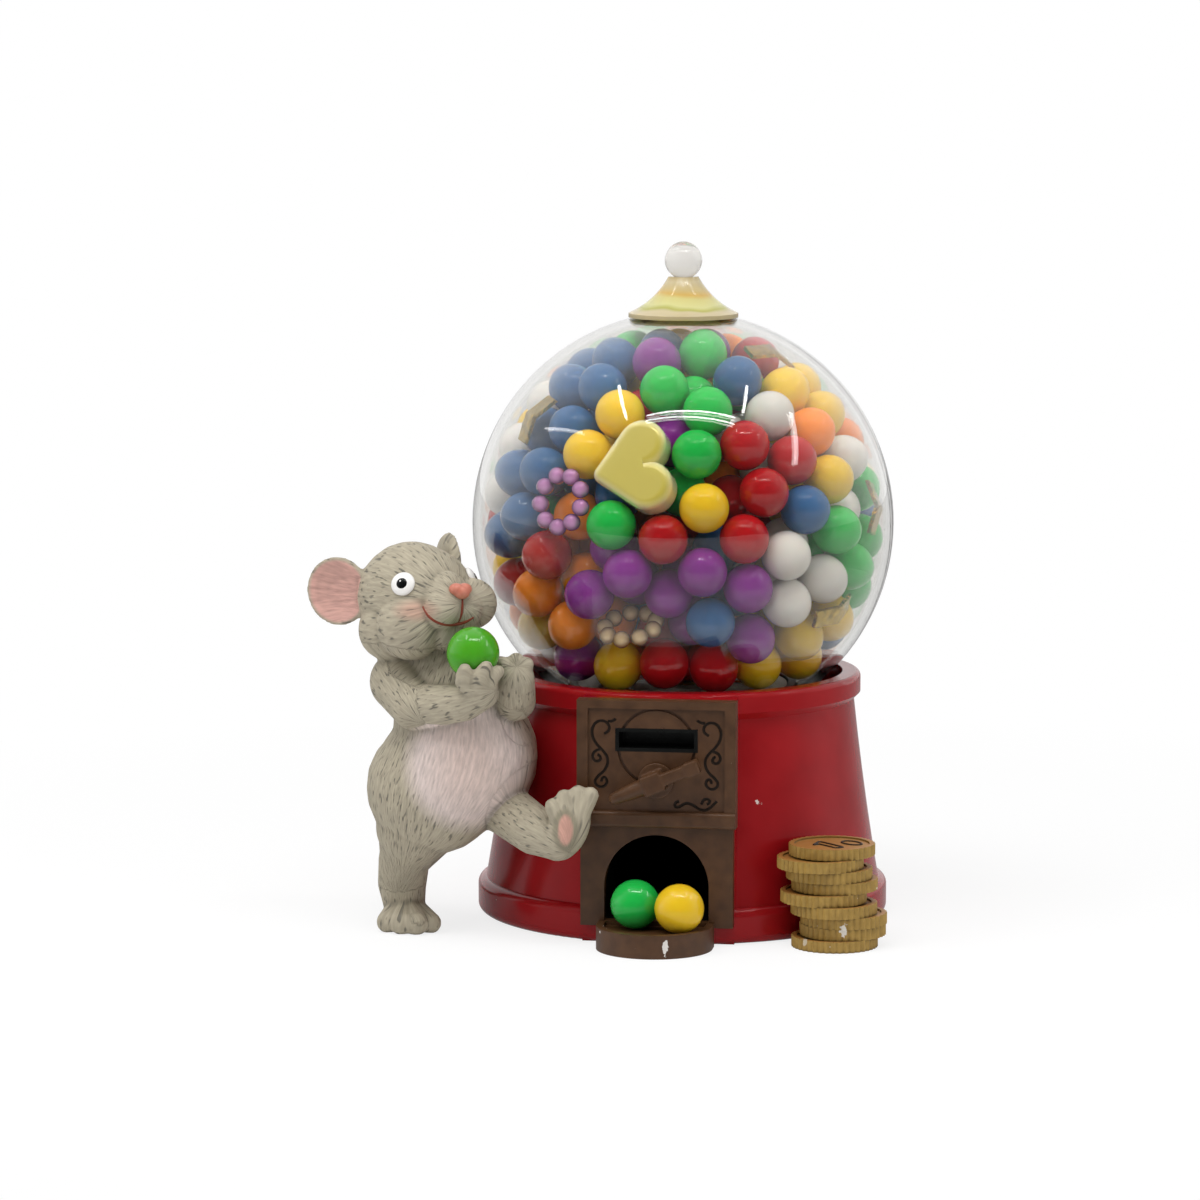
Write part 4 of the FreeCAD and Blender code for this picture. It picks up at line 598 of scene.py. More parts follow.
# %% Dark brown wash with painted groove shade, and the line that carries it
# Thinned paint wiped off the raised places: matt, and nearly black in the grooves, partly as painted shade.
wash_and_groove_shade = plain_coat("dark_brown_wash", 0.6, ("#1C120A", "#2B1C10"), (0.5, 0.7), 0.01, IOR=1.5)


def round_line(name, places, radius, material, resolution, ends=1.0):
    """A round line along a smooth curve near these places, with tips of this share of its thickness."""
    line = bpy.data.curves.new(name, "CURVE")
    line.dimensions = "3D"
    line.bevel_depth = radius
    line.bevel_resolution = resolution
    line.use_fill_caps = True
    spline = line.splines.new("NURBS")
    spline.points.add(len(places) - 1)
    for point, place in zip(spline.points, places):
        point.co = (*place, 1.0)
    spline.points[0].radius = ends
    spline.points[-1].radius = ends
    spline.order_u = 3
    spline.use_endpoint_u = True
    line.materials.append(material)
    return placed(name, line)


def shown_mesh(shape):
    """A mesh of what an object shows, with its modifiers or its curve worked out."""
    return bpy.data.meshes.new_from_object(shape.evaluated_get(bpy.context.evaluated_depsgraph_get()))


def tube(name, places, radius, material):
    """A round line as a mesh."""
    drawn = round_line(name, places, radius, material, 2)
    mesh = shown_mesh(drawn)
    bpy.data.objects.remove(drawn)
    return placed(name, mesh)


print("wash:", wash_and_groove_shade.name)

# %% Cut the strokes out of a copy of the plate
GROOVE_RADIUS = 0.24 * MM
FIELD_DEPTH = 1.1 * MM
plate = nodes["coin_panel"].copy()
plate.data = nodes["coin_panel"].data.copy()
plate.name = "engraved_coin_plate"
scene.collection.objects.link(plate)
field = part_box("coin_panel")[0].y + FIELD_DEPTH
for stroke in strokes:
    # The groove walls take the cutter's wash, which is also painted shade there.
    cutter = tube("needle", [(x * MM, field, z * MM) for x, z in stroke], GROOVE_RADIUS, wash_and_groove_shade)
    cut = plate.modifiers.new("cut", "BOOLEAN")
    cut.operation = "DIFFERENCE"
    cut.solver = "EXACT"
    cut.material_mode = "TRANSFER"
    cut.object = cutter
    plate.data = shown_mesh(plate)
    plate.modifiers.clear()
    bpy.data.objects.remove(cutter)
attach(plate, "base")
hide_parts("coin_panel")
print("engraved plate:", len(plate.data.polygons), "faces,", [m.name for m in plate.data.materials])

# %% Number on the top coin, in mm from the coin's middle
DISH_DEPTH = 0.25 * MM
NUMBER_TURN = math.radians(35)
PEN_RADIUS = 0.2 * MM
RIM_SLACK = 0.05 * MM
ONE = (
    (-3.0, 0.9), (-2.7, 1.4), (-1.6, 1.9), (-1.1, 2.6), (-0.4, 2.6), (-0.3, 2.0), (-0.3, -1.0),
    (-0.3, -3.2), (-0.5, -3.5), (-1.6, -3.5), (-1.8, -3.2), (-1.8, -1.0), (-1.8, 0.8), (-2.0, 1.0),
    (-2.8, 0.8), (-3.0, 0.9),
)
ZERO = [(3.1 + 1.3 * math.cos(a), -1.2 + 2.1 * math.sin(a)) for a in np.linspace(0, 2 * math.pi, 17)]
stack = nodes["coin_stack"]
corners = np.array([stack.matrix_world @ v.co for v in stack.data.vertices])
top_rim = corners[corners[:, 2] > corners[:, 2].max() - RIM_SLACK]
coin_middle = Vector((top_rim.min(0) + top_rim.max(0)) / 2)
across = Matrix.Rotation(NUMBER_TURN, 3, "Z") @ RIGHT
upright = Vector((-across.y, across.x, 0))
face = coin_middle - Vector((0, 0, DISH_DEPTH))
for name, number in (("coin_number_one", ONE), ("coin_number_zero", ZERO)):
    places = [face + (across * x + upright * y) * MM for x, y in number]
    drawn = tube(name, places, PEN_RADIUS, wash_and_groove_shade)
    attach(drawn, "base")
print("number drawn on the coin at", [round(c / MM, 1) for c in coin_middle], "mm")

# %% [markdown]
# ## Sculpted pieces
#
# The crank and the mouse are cast resin that was sculpted in clay first: masses pressed together and
# eased by hand. They could be modelled face by face. Here they are made the sculptor's way: overlapping
# balls, cones and blocks stand for the lumps of clay, a voxel remesh fuses them into one skin, and a
# smoothing pass eases the joins.

# %% Lumps of clay and the limbs between them
def lump(clay, place, radius, stretch=(1, 1, 1), turn=Matrix.Identity(4)):
    """A ball of clay, longer along its own axes by the stretch."""
    shape = Matrix.Translation(place) @ turn @ Matrix.Diagonal((*[radius * s for s in stretch], 1))
    bmesh.ops.create_icosphere(clay, subdivisions=3, radius=1, matrix=shape)


def chain(clay, rows):
    """Lumps joined by cones, for a limb, a finger or a tail."""
    for place, radius in rows:
        lump(clay, place, radius)
    for (start, first), (end, second) in zip(rows, rows[1:]):
        way = end - start
        place = Matrix.Translation((start + end) / 2) @ way.to_track_quat("Z", "Y").to_matrix().to_4x4()
        ends = {"radius1": first, "radius2": second, "depth": way.length}
        bmesh.ops.create_cone(clay, cap_ends=True, segments=24, matrix=place, **ends)


def fused(name, clay, voxel, passes):
    """One smooth skin round overlapping lumps, like clay pressed together and eased with a wet thumb."""
    mesh = bpy.data.meshes.new(name)
    clay.to_mesh(mesh)
    clay.free()
    made = placed(name, mesh)
    press = made.modifiers.new("press", "REMESH")
    press.mode = "VOXEL"
    press.voxel_size = voxel * MM
    ease = made.modifiers.new("ease", "SMOOTH")
    ease.factor = 0.5
    ease.iterations = passes
    made.data = shown_mesh(made)
    made.modifiers.clear()
    made.data.polygons.foreach_set("use_smooth", [True] * len(made.data.polygons))
    return made


print("clay can be rolled, chained and fused")

# %% Crank handle: a square hub between a tapering wing and a paddle, on a flat boss that covers the bush
# A block is a place across and along the shaft, then its length, depth and height. The wing is places
# across the shaft and radii. Both are in mm.
CRANK_HEIGHT = 27 * MM
CRANK_TILT = math.radians(22.6)
WING_Y = -0.45
BLOCKS = ((-0.2, 0, 3.4, 4.0, 3.2), (4.3, WING_Y, 7.0, 2.5, 1.9), (6.6, WING_Y, 2.2, 2.7, 2.3))
WING = ((-0.8, 1.5), (-4.0, 1.3), (-6.9, 1.0))
BOSS_RADIUS = 2.9 * MM
BOSS_THICK = 0.5 * MM
BOSS_INSET = 0.05 * MM
crank_low, crank_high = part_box("crank_handle")
crank_seat = Matrix.Translation((0, (crank_low.y + crank_high.y) / 2, CRANK_HEIGHT))
crank_seat = crank_seat @ Matrix.Rotation(-CRANK_TILT, 4, "Y")
crank_rear = (crank_high.y - crank_low.y) / 2
clay = bmesh.new()
for x, y, long, deep, tall in BLOCKS:
    block = crank_seat @ Matrix.Translation(Vector((x, y, 0)) * MM)
    block = block @ Matrix.Diagonal((long * MM, deep * MM, tall * MM, 1))
    bmesh.ops.create_cube(clay, size=1, matrix=block)
chain(clay, [(crank_seat @ (Vector((x, WING_Y, 0)) * MM), radius * MM) for x, radius in WING])
boss = crank_seat @ Matrix.Translation((0, crank_rear - BOSS_THICK / 2 - BOSS_INSET, 0))
boss = boss @ Matrix.Rotation(math.pi / 2, 4, "X")
ends = {"radius1": BOSS_RADIUS, "radius2": BOSS_RADIUS, "depth": BOSS_THICK}
bmesh.ops.create_cone(clay, cap_ends=True, segments=40, matrix=boss, **ends)
crank_figure = fused("crank_sculpture", clay, 0.15, 9)
crank_figure.data.materials.append(brown_satin)
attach(crank_figure, "crank")
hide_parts("crank_handle")
print("crank skin:", len(crank_figure.data.vertices), "points")

# %% [markdown]
# ## Mouse figure
#
# The mouse stands on one foot, leans on the base, holds a bead in both hands and has its other foot up
# beside the chute. Its masses are the CAD model's, with more of them for the face, the fingers and the
# toes, so that the sculpture keeps the size and the pose of the solid that it dresses.

# %% Masses of the body, as shares of the mouse's height
MOUSE_HEIGHT = 66 * MM
MOUSE_BEARING = math.radians(-52.2)
MOUSE_GAP = 9.1 * MM
mouse_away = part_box("base_housing")[1].x + MOUSE_GAP
mouse_spot = Vector((math.sin(MOUSE_BEARING), -math.cos(MOUSE_BEARING), 0)) * mouse_away
BODY_MASSES = {
    "heel": (-0.136, 0.055, 0.039, 0.050),
    "ankle": (-0.139, 0.035, 0.112, 0.061),
    "shin": (-0.130, 0.015, 0.176, 0.064),
    "thigh": (-0.098, -0.009, 0.262, 0.098),
    "hip": (-0.052, 0.002, 0.362, 0.168),
    "belly": (0.022, 0.013, 0.440, 0.184),
    "chest": (-0.018, 0.009, 0.594, 0.138),
    "neck": (-0.052, 0.006, 0.705, 0.094),
    "head": (-0.085, 0.003, 0.821, 0.142),
    "near_shoulder": (-0.130, -0.030, 0.628, 0.076),
    "near_elbow": (-0.080, -0.120, 0.578, 0.057),
    "near_wrist": (0.056, -0.188, 0.600, 0.044),
    "near_hand": (0.104, -0.200, 0.628, 0.040),
    "far_shoulder": (0.110, 0.012, 0.630, 0.060),
    "far_elbow": (0.163, -0.060, 0.590, 0.050),
    "far_hand": (0.174, -0.120, 0.655, 0.045),
    "far_thigh": (0.120, 0.000, 0.315, 0.066),
    "knee": (0.222, -0.130, 0.280, 0.060),
    "raised_heel": (0.282, -0.172, 0.256, 0.042),
    "rump": (-0.048, 0.130, 0.262, 0.070),
    "tail_bend": (-0.180, 0.250, 0.091, 0.037),
    "tail_turn": (-0.223, 0.390, 0.033, 0.029),
    "tail_curl": (-0.243, 0.525, 0.024, 0.024),
    "tail_tip": (-0.217, 0.629, 0.018, 0.018),
}
BODY_LIMBS = (
    ("heel", "ankle", "shin", "thigh", "hip", "belly", "chest", "neck", "head"),
    ("near_shoulder", "near_elbow", "near_wrist", "near_hand"),
    ("far_shoulder", "far_elbow", "far_hand"),
    ("far_thigh", "knee", "raised_heel"),
    ("rump", "tail_bend", "tail_turn", "tail_curl", "tail_tip"),
)


def mass(name):
    """A mass of the body as (place, radius) in metres."""
    x, y, z, radius = BODY_MASSES[name]
    return mouse_spot + Vector((x, y, z)) * MOUSE_HEIGHT, radius * MOUSE_HEIGHT


print("mouse stands at", [round(c / MM, 1) for c in mouse_spot], "mm")

# %% Body
clay = bmesh.new()
for names in BODY_LIMBS:
    chain(clay, [mass(name) for name in names])
print("body lumps:", len(BODY_MASSES))

# %% Head: cheeks, muzzle and chin
# The head looks to the right of the camera, so its own directions are turned from the picture's.
head = mass("head")[0]
HEAD_TURN = math.radians(35)
FORWARD = RIGHT * math.sin(HEAD_TURN) + TOWARD * math.cos(HEAD_TURN)
SIDE = TOWARD * math.sin(HEAD_TURN) - RIGHT * math.cos(HEAD_TURN)


def on_head(side, up, forward):
    """A place so many mm from the head's middle: towards the near ear, up and towards the nose."""
    return head + (SIDE * side + UP * up + FORWARD * forward) * MM


HEAD_LUMPS = (
    (0.8, 1.0, -1.2, 9.0), (5.1, -4.4, -1.1, 5.2), (4.4, -3.8, 3.8, 5.6), (-4.0, -3.2, 4.6, 3.8),
    (-5.2, -0.2, 7.3, 4.2), (0.0, -0.4, 7.4, 4.8), (2.0, -1.3, 9.6, 3.1), (-2.0, -1.3, 9.6, 3.1),
    (0.0, -4.6, 7.4, 3.2), (0.0, 1.6, 7.8, 3.5),
)
for *place, radius in HEAD_LUMPS:
    lump(clay, on_head(*place), radius * MM)
print("head at", [round(c / MM, 1) for c in head], "mm")

# %% [markdown]
# ### Ears, hands and feet
#
# The ears are shallow cups. Flattened balls would do from afar, but a section turned round an axis, as a
# potter works, gives a clean lip. Fingers and toes are chains of lumps. The fingers are placed by their
# direction from the middle of the held bead, so that they lie on it whatever its size.

# %% Ears: shallow cups, turned like pottery
# Each ear is its middle, as shares of the height, and the way it faces. Three cones root it in the head,
# so many degrees apart. The section runs from the back of the cup over its lip to the front, in radii.
EAR_RADIUS = 5.6 * MM
EAR_ROOTS = (-40, 0, 40)
ROOT_TIP, ROOT_END = 1.3 * MM, 3.5 * MM
EARS = (
    ((-0.290, 0.009, 0.845), (-0.3, -1.0, 0.0)),
    ((-0.037, 0.143, 0.893), (0.88, 0.46, 0.0)),
)
EAR_SECTION = (
    (0.00, -0.28), (0.55, -0.25), (0.90, -0.13), (1.02, 0.02), (1.00, 0.10),
    (0.90, 0.11), (0.72, 0.01), (0.40, -0.08), (0.00, -0.11),
)
ear_seats = []
for shares, faces in EARS:
    seat = Matrix.Translation(mouse_spot + Vector(shares) * MOUSE_HEIGHT)
    seat = seat @ Vector(faces).to_track_quat("Z", "Y").to_matrix().to_4x4()
    ear_seats.append(seat)
    rings = []
    spokes = [(math.cos(a), math.sin(a)) for a in np.linspace(0, 2 * math.pi, 40, endpoint=False)]
    for wide, high in EAR_SECTION:
        ring = [seat @ (Vector((wide * x, wide * y, high)) * EAR_RADIUS) for x, y in spokes]
        rings.append([clay.verts.new(place) for place in ring])
    for inner, outer in zip(rings, rings[1:]):
        for k in range(len(inner)):
            clay.faces.new((inner[k - 1], inner[k], outer[k], outer[k - 1]))
    bmesh.ops.remove_doubles(clay, verts=rings[0] + rings[-1], dist=0.01 * MM)
    for turn in EAR_ROOTS:
        fan = Matrix.Rotation(math.radians(turn), 3, Vector(faces))
        inward = fan @ (head - seat.translation).normalized()
        edge = seat.translation + inward * EAR_RADIUS * 0.8
        chain(clay, [(edge, ROOT_TIP), (edge.lerp(head, 0.7), ROOT_END)])
bmesh.ops.recalc_face_normals(clay, faces=clay.faces)
print("ears:", len(ear_seats))

# %% Fingers round the held bead
held_low, held_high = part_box("held_gumball")
held_middle = (held_low + held_high) / 2
held_radius = (held_high.x - held_low.x) / 2
HALF_FINGER = 1.0 * MM


def on_bead(right, up, toward):
    """A place half a finger's thickness off the held bead, in this direction of the photograph."""
    way = (RIGHT * right + UP * up + TOWARD * toward).normalized()
    return held_middle + way * (held_radius + HALF_FINGER)


FINGERS = (
    ((-0.30, -0.95, 0.55), (-0.30, -0.80, 0.75), (-0.23, -0.50, 0.84)),
    ((0.20, -0.95, 0.60), (0.25, -0.80, 0.75), (0.42, -0.42, 0.80)),
    ((0.60, -0.95, 0.45), (0.66, -0.80, 0.50), (0.80, -0.58, 0.32)),
)
FINGER_JOINTS = (1.55 * MM, 1.4 * MM, 1.1 * MM)
FAR_KNUCKLES = ((-1.9, 2.2), (0.0, 2.9), (1.6, 2.2))
NEAR_PALM, FAR_PALM, KNUCKLE = 2.3 * MM, 2.4 * MM, 1.3 * MM
near_hand, far_hand = mass("near_hand")[0], mass("far_hand")[0]
for finger in FINGERS:
    joints = [on_bead(*way) for way in finger]
    chain(clay, [(near_hand, NEAR_PALM)] + list(zip(joints, FINGER_JOINTS)))
for right, up in FAR_KNUCKLES:
    knuckle = far_hand + (RIGHT * right + UP * up + TOWARD * 0.8) * MM
    chain(clay, [(far_hand, FAR_PALM), (knuckle, KNUCKLE)])
print("fingers:", len(FINGERS) + len(FAR_KNUCKLES))

# %% Toes of both feet
TOES = ((-2.6, 5.2, 1.9), (-0.3, 6.8, 2.0), (2.1, 7.2, 2.0), (4.4, 5.8, 1.8))
RAISED_TOES = ((-2.4, 3.7), (-0.6, 5.1), (1.6, 5.8), (3.6, 5.5))
INSTEP, RAISED_INSTEP, RAISED_TOE = 3.2 * MM, 1.9 * MM, 1.4 * MM
SOLE_HALF_SIZE = (3.3, 5.4, 2.6)
SOLE_TURN = math.radians(-24)
heel = mass("heel")[0]
for right, toward, radius in TOES:
    toe = heel + (RIGHT * right + TOWARD * toward) * MM
    toe.z = radius * 0.85 * MM
    chain(clay, [(heel, INSTEP), (toe, radius * MM)])
sole = mouse_spot + Vector((0.310, -0.179, 0.294)) * MOUSE_HEIGHT
sole_turn = view_axes @ Matrix.Rotation(SOLE_TURN, 4, "Z")
lump(clay, sole, 1 * MM, SOLE_HALF_SIZE, sole_turn)
for right, up in RAISED_TOES:
    toe = sole + (RIGHT * right + UP * up + TOWARD * 0.3) * MM
    chain(clay, [(sole.lerp(toe, 0.5), RAISED_INSTEP), (toe, RAISED_TOE)])
mouse = fused("mouse_sculpture", clay, 0.34, 6)
print("mouse skin:", len(mouse.data.vertices), "points")

# %% Keep the sculpture off the machine, the held bead and the floor
# The wall is the base's outline from the floor up: the skirt, the tapering side and the rim.
CLEAR = 0.12 * MM
WALL_HEIGHTS = np.array((0.0, 5.8, 5.9, 35.8, 36.9, 40.4, 40.5)) * MM
WALL_RADII = np.array((34.2, 34.2, 32.8, 28.6, 29.7, 29.7, 0.0)) * MM
GLOBE_HEIGHT = 65.02 * MM
points = np.empty(len(mouse.data.vertices) * 3)
mouse.data.vertices.foreach_get("co", points)
points = points.reshape(-1, 3)
sculpted = points.copy()
wall = np.interp(points[:, 2], WALL_HEIGHTS, WALL_RADII) + CLEAR
away = np.hypot(points[:, 0], points[:, 1])
inside = away < wall
points[inside, :2] *= (wall / away)[inside, None]
globe = (Vector((0, 0, GLOBE_HEIGHT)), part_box("globe")[1].x)
for centre, radius in ((held_middle, held_radius), globe):
    out = points - np.array(centre)
    apart = np.linalg.norm(out, axis=1)
    inside = apart < radius + CLEAR
    points[inside] = np.array(centre) + out[inside] * ((radius + CLEAR) / apart[inside])[:, None]
points[:, 2] = np.maximum(points[:, 2], 0)
points[:, 0] = np.maximum(points[:, 0], cad_box[0].x)
mouse.data.vertices.foreach_set("co", points.ravel())
mouse.data.update()
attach(mouse, "base")
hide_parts("mouse_figure")
print("points moved off their neighbours:", int((points != sculpted).any(1).sum()))

# %% [markdown]
# ### Fur and paint
#
# The fur is short strokes, scratched into the clay along each limb. Hair strands would make a plush toy of
# it, and plain noise would not follow the limbs. So every point of the skin learns which limb it belongs
# to, how far along the limb it lies and how far round it. Those three numbers are worked out from the
# masses and kept as an attribute, which the shader stretches into strokes. A second attribute holds the
# painter's colours and painted shade: grey all over, a pale belly, pink in the ears, a blush on the cheek
# and painted shade darkening the creases.

# %% Which limb a point belongs to, and where on it
# A limb is two masses and its radius in mm. The last one is the head, from the nape to the nose.
FUR_LINES = (
    ("heel", "thigh", 4.5),
    ("thigh", "chest", 11.5),
    ("near_shoulder", "near_elbow", 4.4),
    ("near_elbow", "near_hand", 3.2),
    ("far_shoulder", "far_elbow", 3.6),
    ("far_elbow", "far_hand", 3.2),
    ("far_thigh", "raised_heel", 4.0),
    ("rump", "tail_bend", 3.2),
    ("tail_bend", "tail_turn", 2.0),
    ("tail_turn", "tail_tip", 1.5),
)
LIMB_APART = 7 * MM  # keeps each limb in a part of the pattern of its own
bones = [(mass(a)[0], mass(b)[0], radius * MM) for a, b, radius in FUR_LINES]
bones.append((on_head(0, 1, -6), on_head(0, 0, 9), 7 * MM))
closest = np.full(len(points), np.inf)
owner = np.zeros(len(points), int)
fur = np.zeros((len(points), 3))
for number, (start, end, radius) in enumerate(bones):
    way = np.array((end - start).normalized())
    length = (end - start).length
    along = (points - np.array(start)) @ way
    spoke = points - np.array(start) - np.outer(along, way)
    reach = points - np.array(start) - np.outer(np.clip(along, 0, length), way)
    gap = np.linalg.norm(reach, axis=1) - radius
    ahead = np.array(TOWARD) - way * (np.array(TOWARD) @ way)
    turn = np.arctan2(spoke @ np.cross(way, ahead), spoke @ ahead)
    nearer = gap < closest
    closest[nearer] = gap[nearer]
    owner[nearer] = number
    limb_place = np.column_stack((along, turn * radius, np.full(len(points), number * LIMB_APART)))
    fur[nearer] = limb_place[nearer] / MM
fur_flow = mouse.data.attributes.new("fur_flow", "FLOAT_VECTOR", "POINT")
fur_flow.data.foreach_set("vector", fur.ravel())
print("limbs:", len(bones))

# %% How deep each point lies in a crease
# A few rounds of easing fill the creases in. How far a point would have to rise says how deep it lies.
FULL_CREASE = 0.22 * MM
EASING_ROUNDS = 8
normals = np.empty(len(points) * 3)
mouse.data.vertices.foreach_get("normal", normals)
normals = normals.reshape(-1, 3)
edges = np.empty(len(mouse.data.edges) * 2, int)
mouse.data.edges.foreach_get("vertices", edges)
edges = np.vstack((edges.reshape(-1, 2), edges.reshape(-1, 2)[:, ::-1]))
neighbours = np.bincount(edges[:, 0], minlength=len(points))
eased = points.copy()
for _ in range(EASING_ROUNDS):
    sums = [np.bincount(edges[:, 0], eased[edges[:, 1], axis], len(points)) for axis in range(3)]
    eased = np.column_stack(sums) / neighbours[:, None]
# The depth sets how much painted shade a point gets.
crease_shade = np.clip(((eased - points) * normals).sum(1) / FULL_CREASE, 0, 1)
print("points in creases:", int((crease_shade > 0.5).sum()))

# %% The painter's colours
BELLY_SKIN = 0.4 * MM
CUP_DEPTH = 1.4 * MM
colour = np.tile(np.array(linear("#A79E8A")), (len(points), 1))


def brush(mask, hex_colour, scratches_left):
    """Paints over the colour where the mask is and leaves this much of the fur's scratches."""
    target = np.array(linear(hex_colour)[:3] + [scratches_left])
    colour[:] = colour + (target - colour) * mask[:, None]


def oval(origin, right, up, wide, tall, soft):
    """1 inside an oval on the figure's front and 0 outside it. Sizes are in mm, soft is a share."""
    view = (points - np.array(origin)) / MM
    spread = np.hypot((view @ np.array(RIGHT) - right) / wide, (view @ np.array(UP) - up) / tall)
    return np.clip((1 + soft / 2 - spread) / soft, 0, 1) * np.clip(normals @ np.array(TOWARD) * 4, 0, 1)


belly = mass("belly")[0]
on_torso = owner == FUR_LINES.index(("thigh", "chest", 11.5))
on_torso |= np.linalg.norm(points - np.array(belly), axis=1) < mass("belly")[1] + BELLY_SKIN
brush(oval(belly, 0.8, -1.2, 9.6, 10.2, 0.3) * on_torso, "#CFC0BA", 0.2)
brush(oval(belly, 1.4, -1.6, 5.5, 6.0, 1.2) * on_torso * 0.5, "#D3B8AC", 0.1)
for seat in ear_seats:
    local = (points - np.array(seat.translation)) @ np.array(seat.to_3x3())
    cup = np.clip((0.95 - np.hypot(local[:, 0], local[:, 1]) / EAR_RADIUS) / 0.08, 0, 1)
    faces = np.clip(normals @ np.array(seat.to_3x3().col[2]) * 4, 0, 1)
    brush(cup * faces * (np.abs(local[:, 2]) < CUP_DEPTH), "#CDA095", 0.0)
brush(oval(head, -0.3, -1.3, 3.0, 1.5, 0.9) * 0.5, "#B98474", 0.6)
brush(oval(sole, -0.4, 0.0, 2.1, 3.4, 0.25), "#867F6C", 0.0)
brush(oval(sole, -0.4, 0.0, 1.15, 2.4, 0.25), "#BF9384", 0.0)
# Painted shade in the creases.
brush(crease_shade * 0.7, "#5E5848", 0.8)
laid_paint = mouse.data.attributes.new("paint", "FLOAT_COLOR", "POINT")
laid_paint.data.foreach_set("color", colour.ravel())
print("paint laid on", len(points), "points")

# %% Dry-brushed fur paint
# Grey-brown acrylic over scratched clay: pale on the ridges, dark in the scratches and matt all over. The
# dark scratches are rarer and shorter than the strokes. Sizes are length and width in mm.
STROKE = (2.5, 0.4)
SCRATCH = (1.8, 0.45)
SCRATCHES_FROM = (40.0, 9.0, 3.0)  # elsewhere in the pattern, so that scratches don't follow strokes
STROKE_DEPTH = 0.22 * MM
fur_paint, tree, shader = finish("dry_brushed_fur_paint", IOR=1.45)
flow = add(tree, "Attribute", attribute_name="fur_flow").outputs["Vector"]
tint = add(tree, "Attribute", attribute_name="paint")
drawn_out = add(tree, "Mapping", {"Vector": flow, "Scale": (1 / STROKE[0], 1 / STROKE[1], 1.0)})
hairs = add(tree, "TexNoise", {"Vector": drawn_out.outputs[0], "Scale": 1.0, "Detail": 2.0}).outputs["Fac"]
drawn_out = add(tree, "Mapping", {"Vector": flow, "Scale": (1 / SCRATCH[0], 1 / SCRATCH[1], 1.0)})
drawn_out.inputs["Location"].default_value = SCRATCHES_FROM
rare = add(tree, "TexNoise", {"Vector": drawn_out.outputs[0], "Scale": 1.0, "Detail": 1.0}).outputs["Fac"]
ridge = {"From Min": 0.3, "From Max": 0.7, "To Min": 0.8, "To Max": 1.14}
ridge = add(tree, "MapRange", {"Value": hairs, **ridge})
lit = add(tree, "HueSaturation", {"Value": ridge.outputs[0], "Color": tint.outputs["Color"]})
deep = add(tree, "MapRange", {"Value": rare, "From Min": 0.59, "From Max": 0.69, "To Max": 0.65})
deep = add(tree, "Math", {0: deep.outputs[0], 1: tint.outputs["Alpha"]}, operation="MULTIPLY")
tree.links.new(lit.outputs[0], shader.inputs["Base Color"])
painted_over(tree, shader, deep.outputs[0], "#3A3B38")
rough = add(tree, "MapRange", {"Value": hairs, "To Min": 0.5, "To Max": 0.72})
tree.links.new(rough.outputs[0], shader.inputs["Roughness"])
relief = add(tree, "Math", {0: hairs, 1: deep.outputs[0]}, operation="SUBTRACT")
bump = add(tree, "Bump", {"Height": relief.outputs[0], "Strength": 0.7, "Distance": STROKE_DEPTH})
tree.links.new(bump.outputs["Normal"], shader.inputs["Normal"])
mouse.data.materials.append(fur_paint)
print("fur paint on", mouse.name)

# %% [markdown]
# ### Face
#
# The eyes are white domes with a black pupil and a dot of white for the gleam, the nose is a coral lump
# and the mouth a brown-red line that the painter drew with a fine brush. All could be part of the skin's
# paint, but its points are too far apart for sharp edges, so they are small shapes of their own. The line
# is laid on the skin by shooting a ray at it for each point of the curve, so that it follows every bulge.

# %% Paints of the face
# Gloss enamel makes the eyes gleam, the nose has a softer gloss, and the mouth is matt paint.
eye_white = plain_coat("white_eye_enamel", 1.5, ("#DDDAD6", "#EFEDEA"), (0.2, 0.3), 0.01, IOR=1.5)
eye_black = plain_coat("black_eye_enamel", 0.8, ("#060606", "#101010"), (0.1, 0.2), 0.005, IOR=1.5)
coral_paint = plain_coat("coral_nose_enamel", 0.9, ("#B4634F", "#CC8672"), (0.26, 0.38), 0.02, IOR=1.5)
lip_paint = plain_coat("brown_red_line_paint", 0.7, ("#6E2C1C", "#8A3D29"), (0.4, 0.55), 0.01, IOR=1.5)
print("face paints:", [m.name for m in (eye_white, eye_black, coral_paint, lip_paint)])

# %% Eyes
skin = BVHTree.FromPolygons(points.tolist(), [list(p.vertices) for p in mouse.data.polygons])


def dome(shape, seat, radius, height, material_index):
    """A shallow round dome on a seat that faces along its Z."""
    made = bmesh.ops.create_uvsphere(shape, u_segments=28, v_segments=18, radius=1)
    dome_size = Matrix.Diagonal((radius, radius, height, 1))
    bmesh.ops.transform(shape, matrix=seat @ dome_size, verts=made["verts"])
    for face in {face for vert in made["verts"] for face in vert.link_faces}:
        face.material_index = material_index
        face.smooth = True


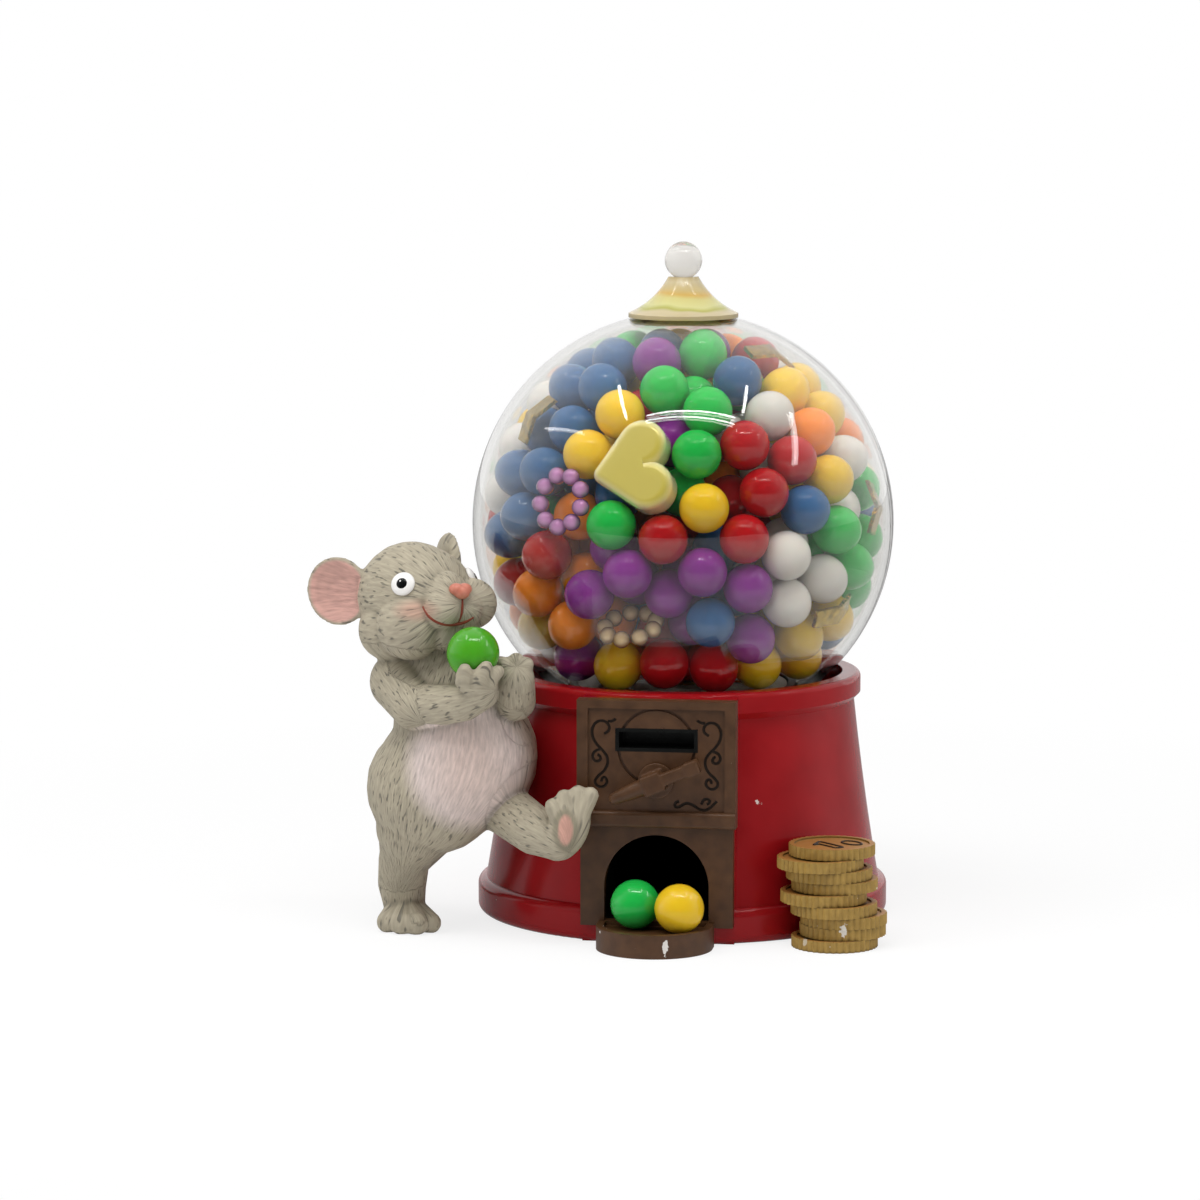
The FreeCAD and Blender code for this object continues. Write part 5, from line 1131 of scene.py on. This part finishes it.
# Each dome is a place on the eye, a radius and a height in mm, then 0 for white or 1 for black.
DOMES = (
    ((0.0, 0.0, 0.0), 2.0, 0.75, 0),
    ((0.0, -0.1, 0.62), 0.92, 0.22, 1),
    ((-0.25, 0.2, 0.81), 0.14, 0.04, 0),
)
EYES = (("near_eye", 6.9, 3.0), ("far_eye", -6.9, 4.0))
EYES_FORWARD = 5.5
for name, side, up in EYES:
    outward = (SIDE * side + UP * up + FORWARD * EYES_FORWARD).normalized()
    place, *_ = skin.ray_cast(head + outward * 30 * MM, -outward)
    seat = Matrix.Translation(place) @ outward.to_track_quat("Z", "Y").to_matrix().to_4x4()
    shape = bmesh.new()
    for offset, radius, height, enamel in DOMES:
        dome(shape, seat @ Matrix.Translation(Vector(offset) * MM), radius * MM, height * MM, enamel)
    mesh = bpy.data.meshes.new(name)
    shape.to_mesh(mesh)
    shape.free()
    eye = placed(name, mesh)
    mesh.materials.append(eye_white)
    mesh.materials.append(eye_black)
    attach(eye, "base")
print("eyes set into the skin")

# %% Nose and mouth
NOSE_LUMPS = ((-0.2, 1.6, 11.9, 1.3), (0.6, 2.1, 11.6, 1.15), (-1.0, 2.1, 11.6, 1.15))
clay = bmesh.new()
nose_turn = Matrix((-SIDE, UP, FORWARD)).transposed().to_4x4()
for *place, radius in NOSE_LUMPS:
    lump(clay, on_head(*place), radius * MM, (1.1, 0.9, 1.0), nose_turn)
nose = fused("mouse_nose", clay, 0.16, 5)
nose.data.materials.append(coral_paint)
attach(nose, "base")


def drawn_line(name, spots, radius):
    """A painted line on the skin through these places, in mm right of and above the head's middle."""
    starts = [head + (RIGHT * right + UP * up + TOWARD * 40) * MM for right, up in spots]
    places = [skin.ray_cast(start, -TOWARD)[0] for start in starts]
    made = round_line(name, places, radius * MM, lip_paint, 3, ends=0.55)
    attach(made, "base")


SMILE = (
    (0.8, -0.7), (1.4, -1.8), (2.4, -2.8), (3.6, -3.4), (5.0, -3.65), (6.6, -3.5), (8.0, -3.0), (8.9, -2.4),
)
LIP_LINE = ((7.1, 0.9), (7.15, 0.0), (7.1, -1.2), (6.9, -2.3), (6.5, -3.2))
drawn_line("mouse_smile", SMILE, 0.28)
drawn_line("mouse_lip_line", LIP_LINE, 0.21)
print("nose and mouth done")
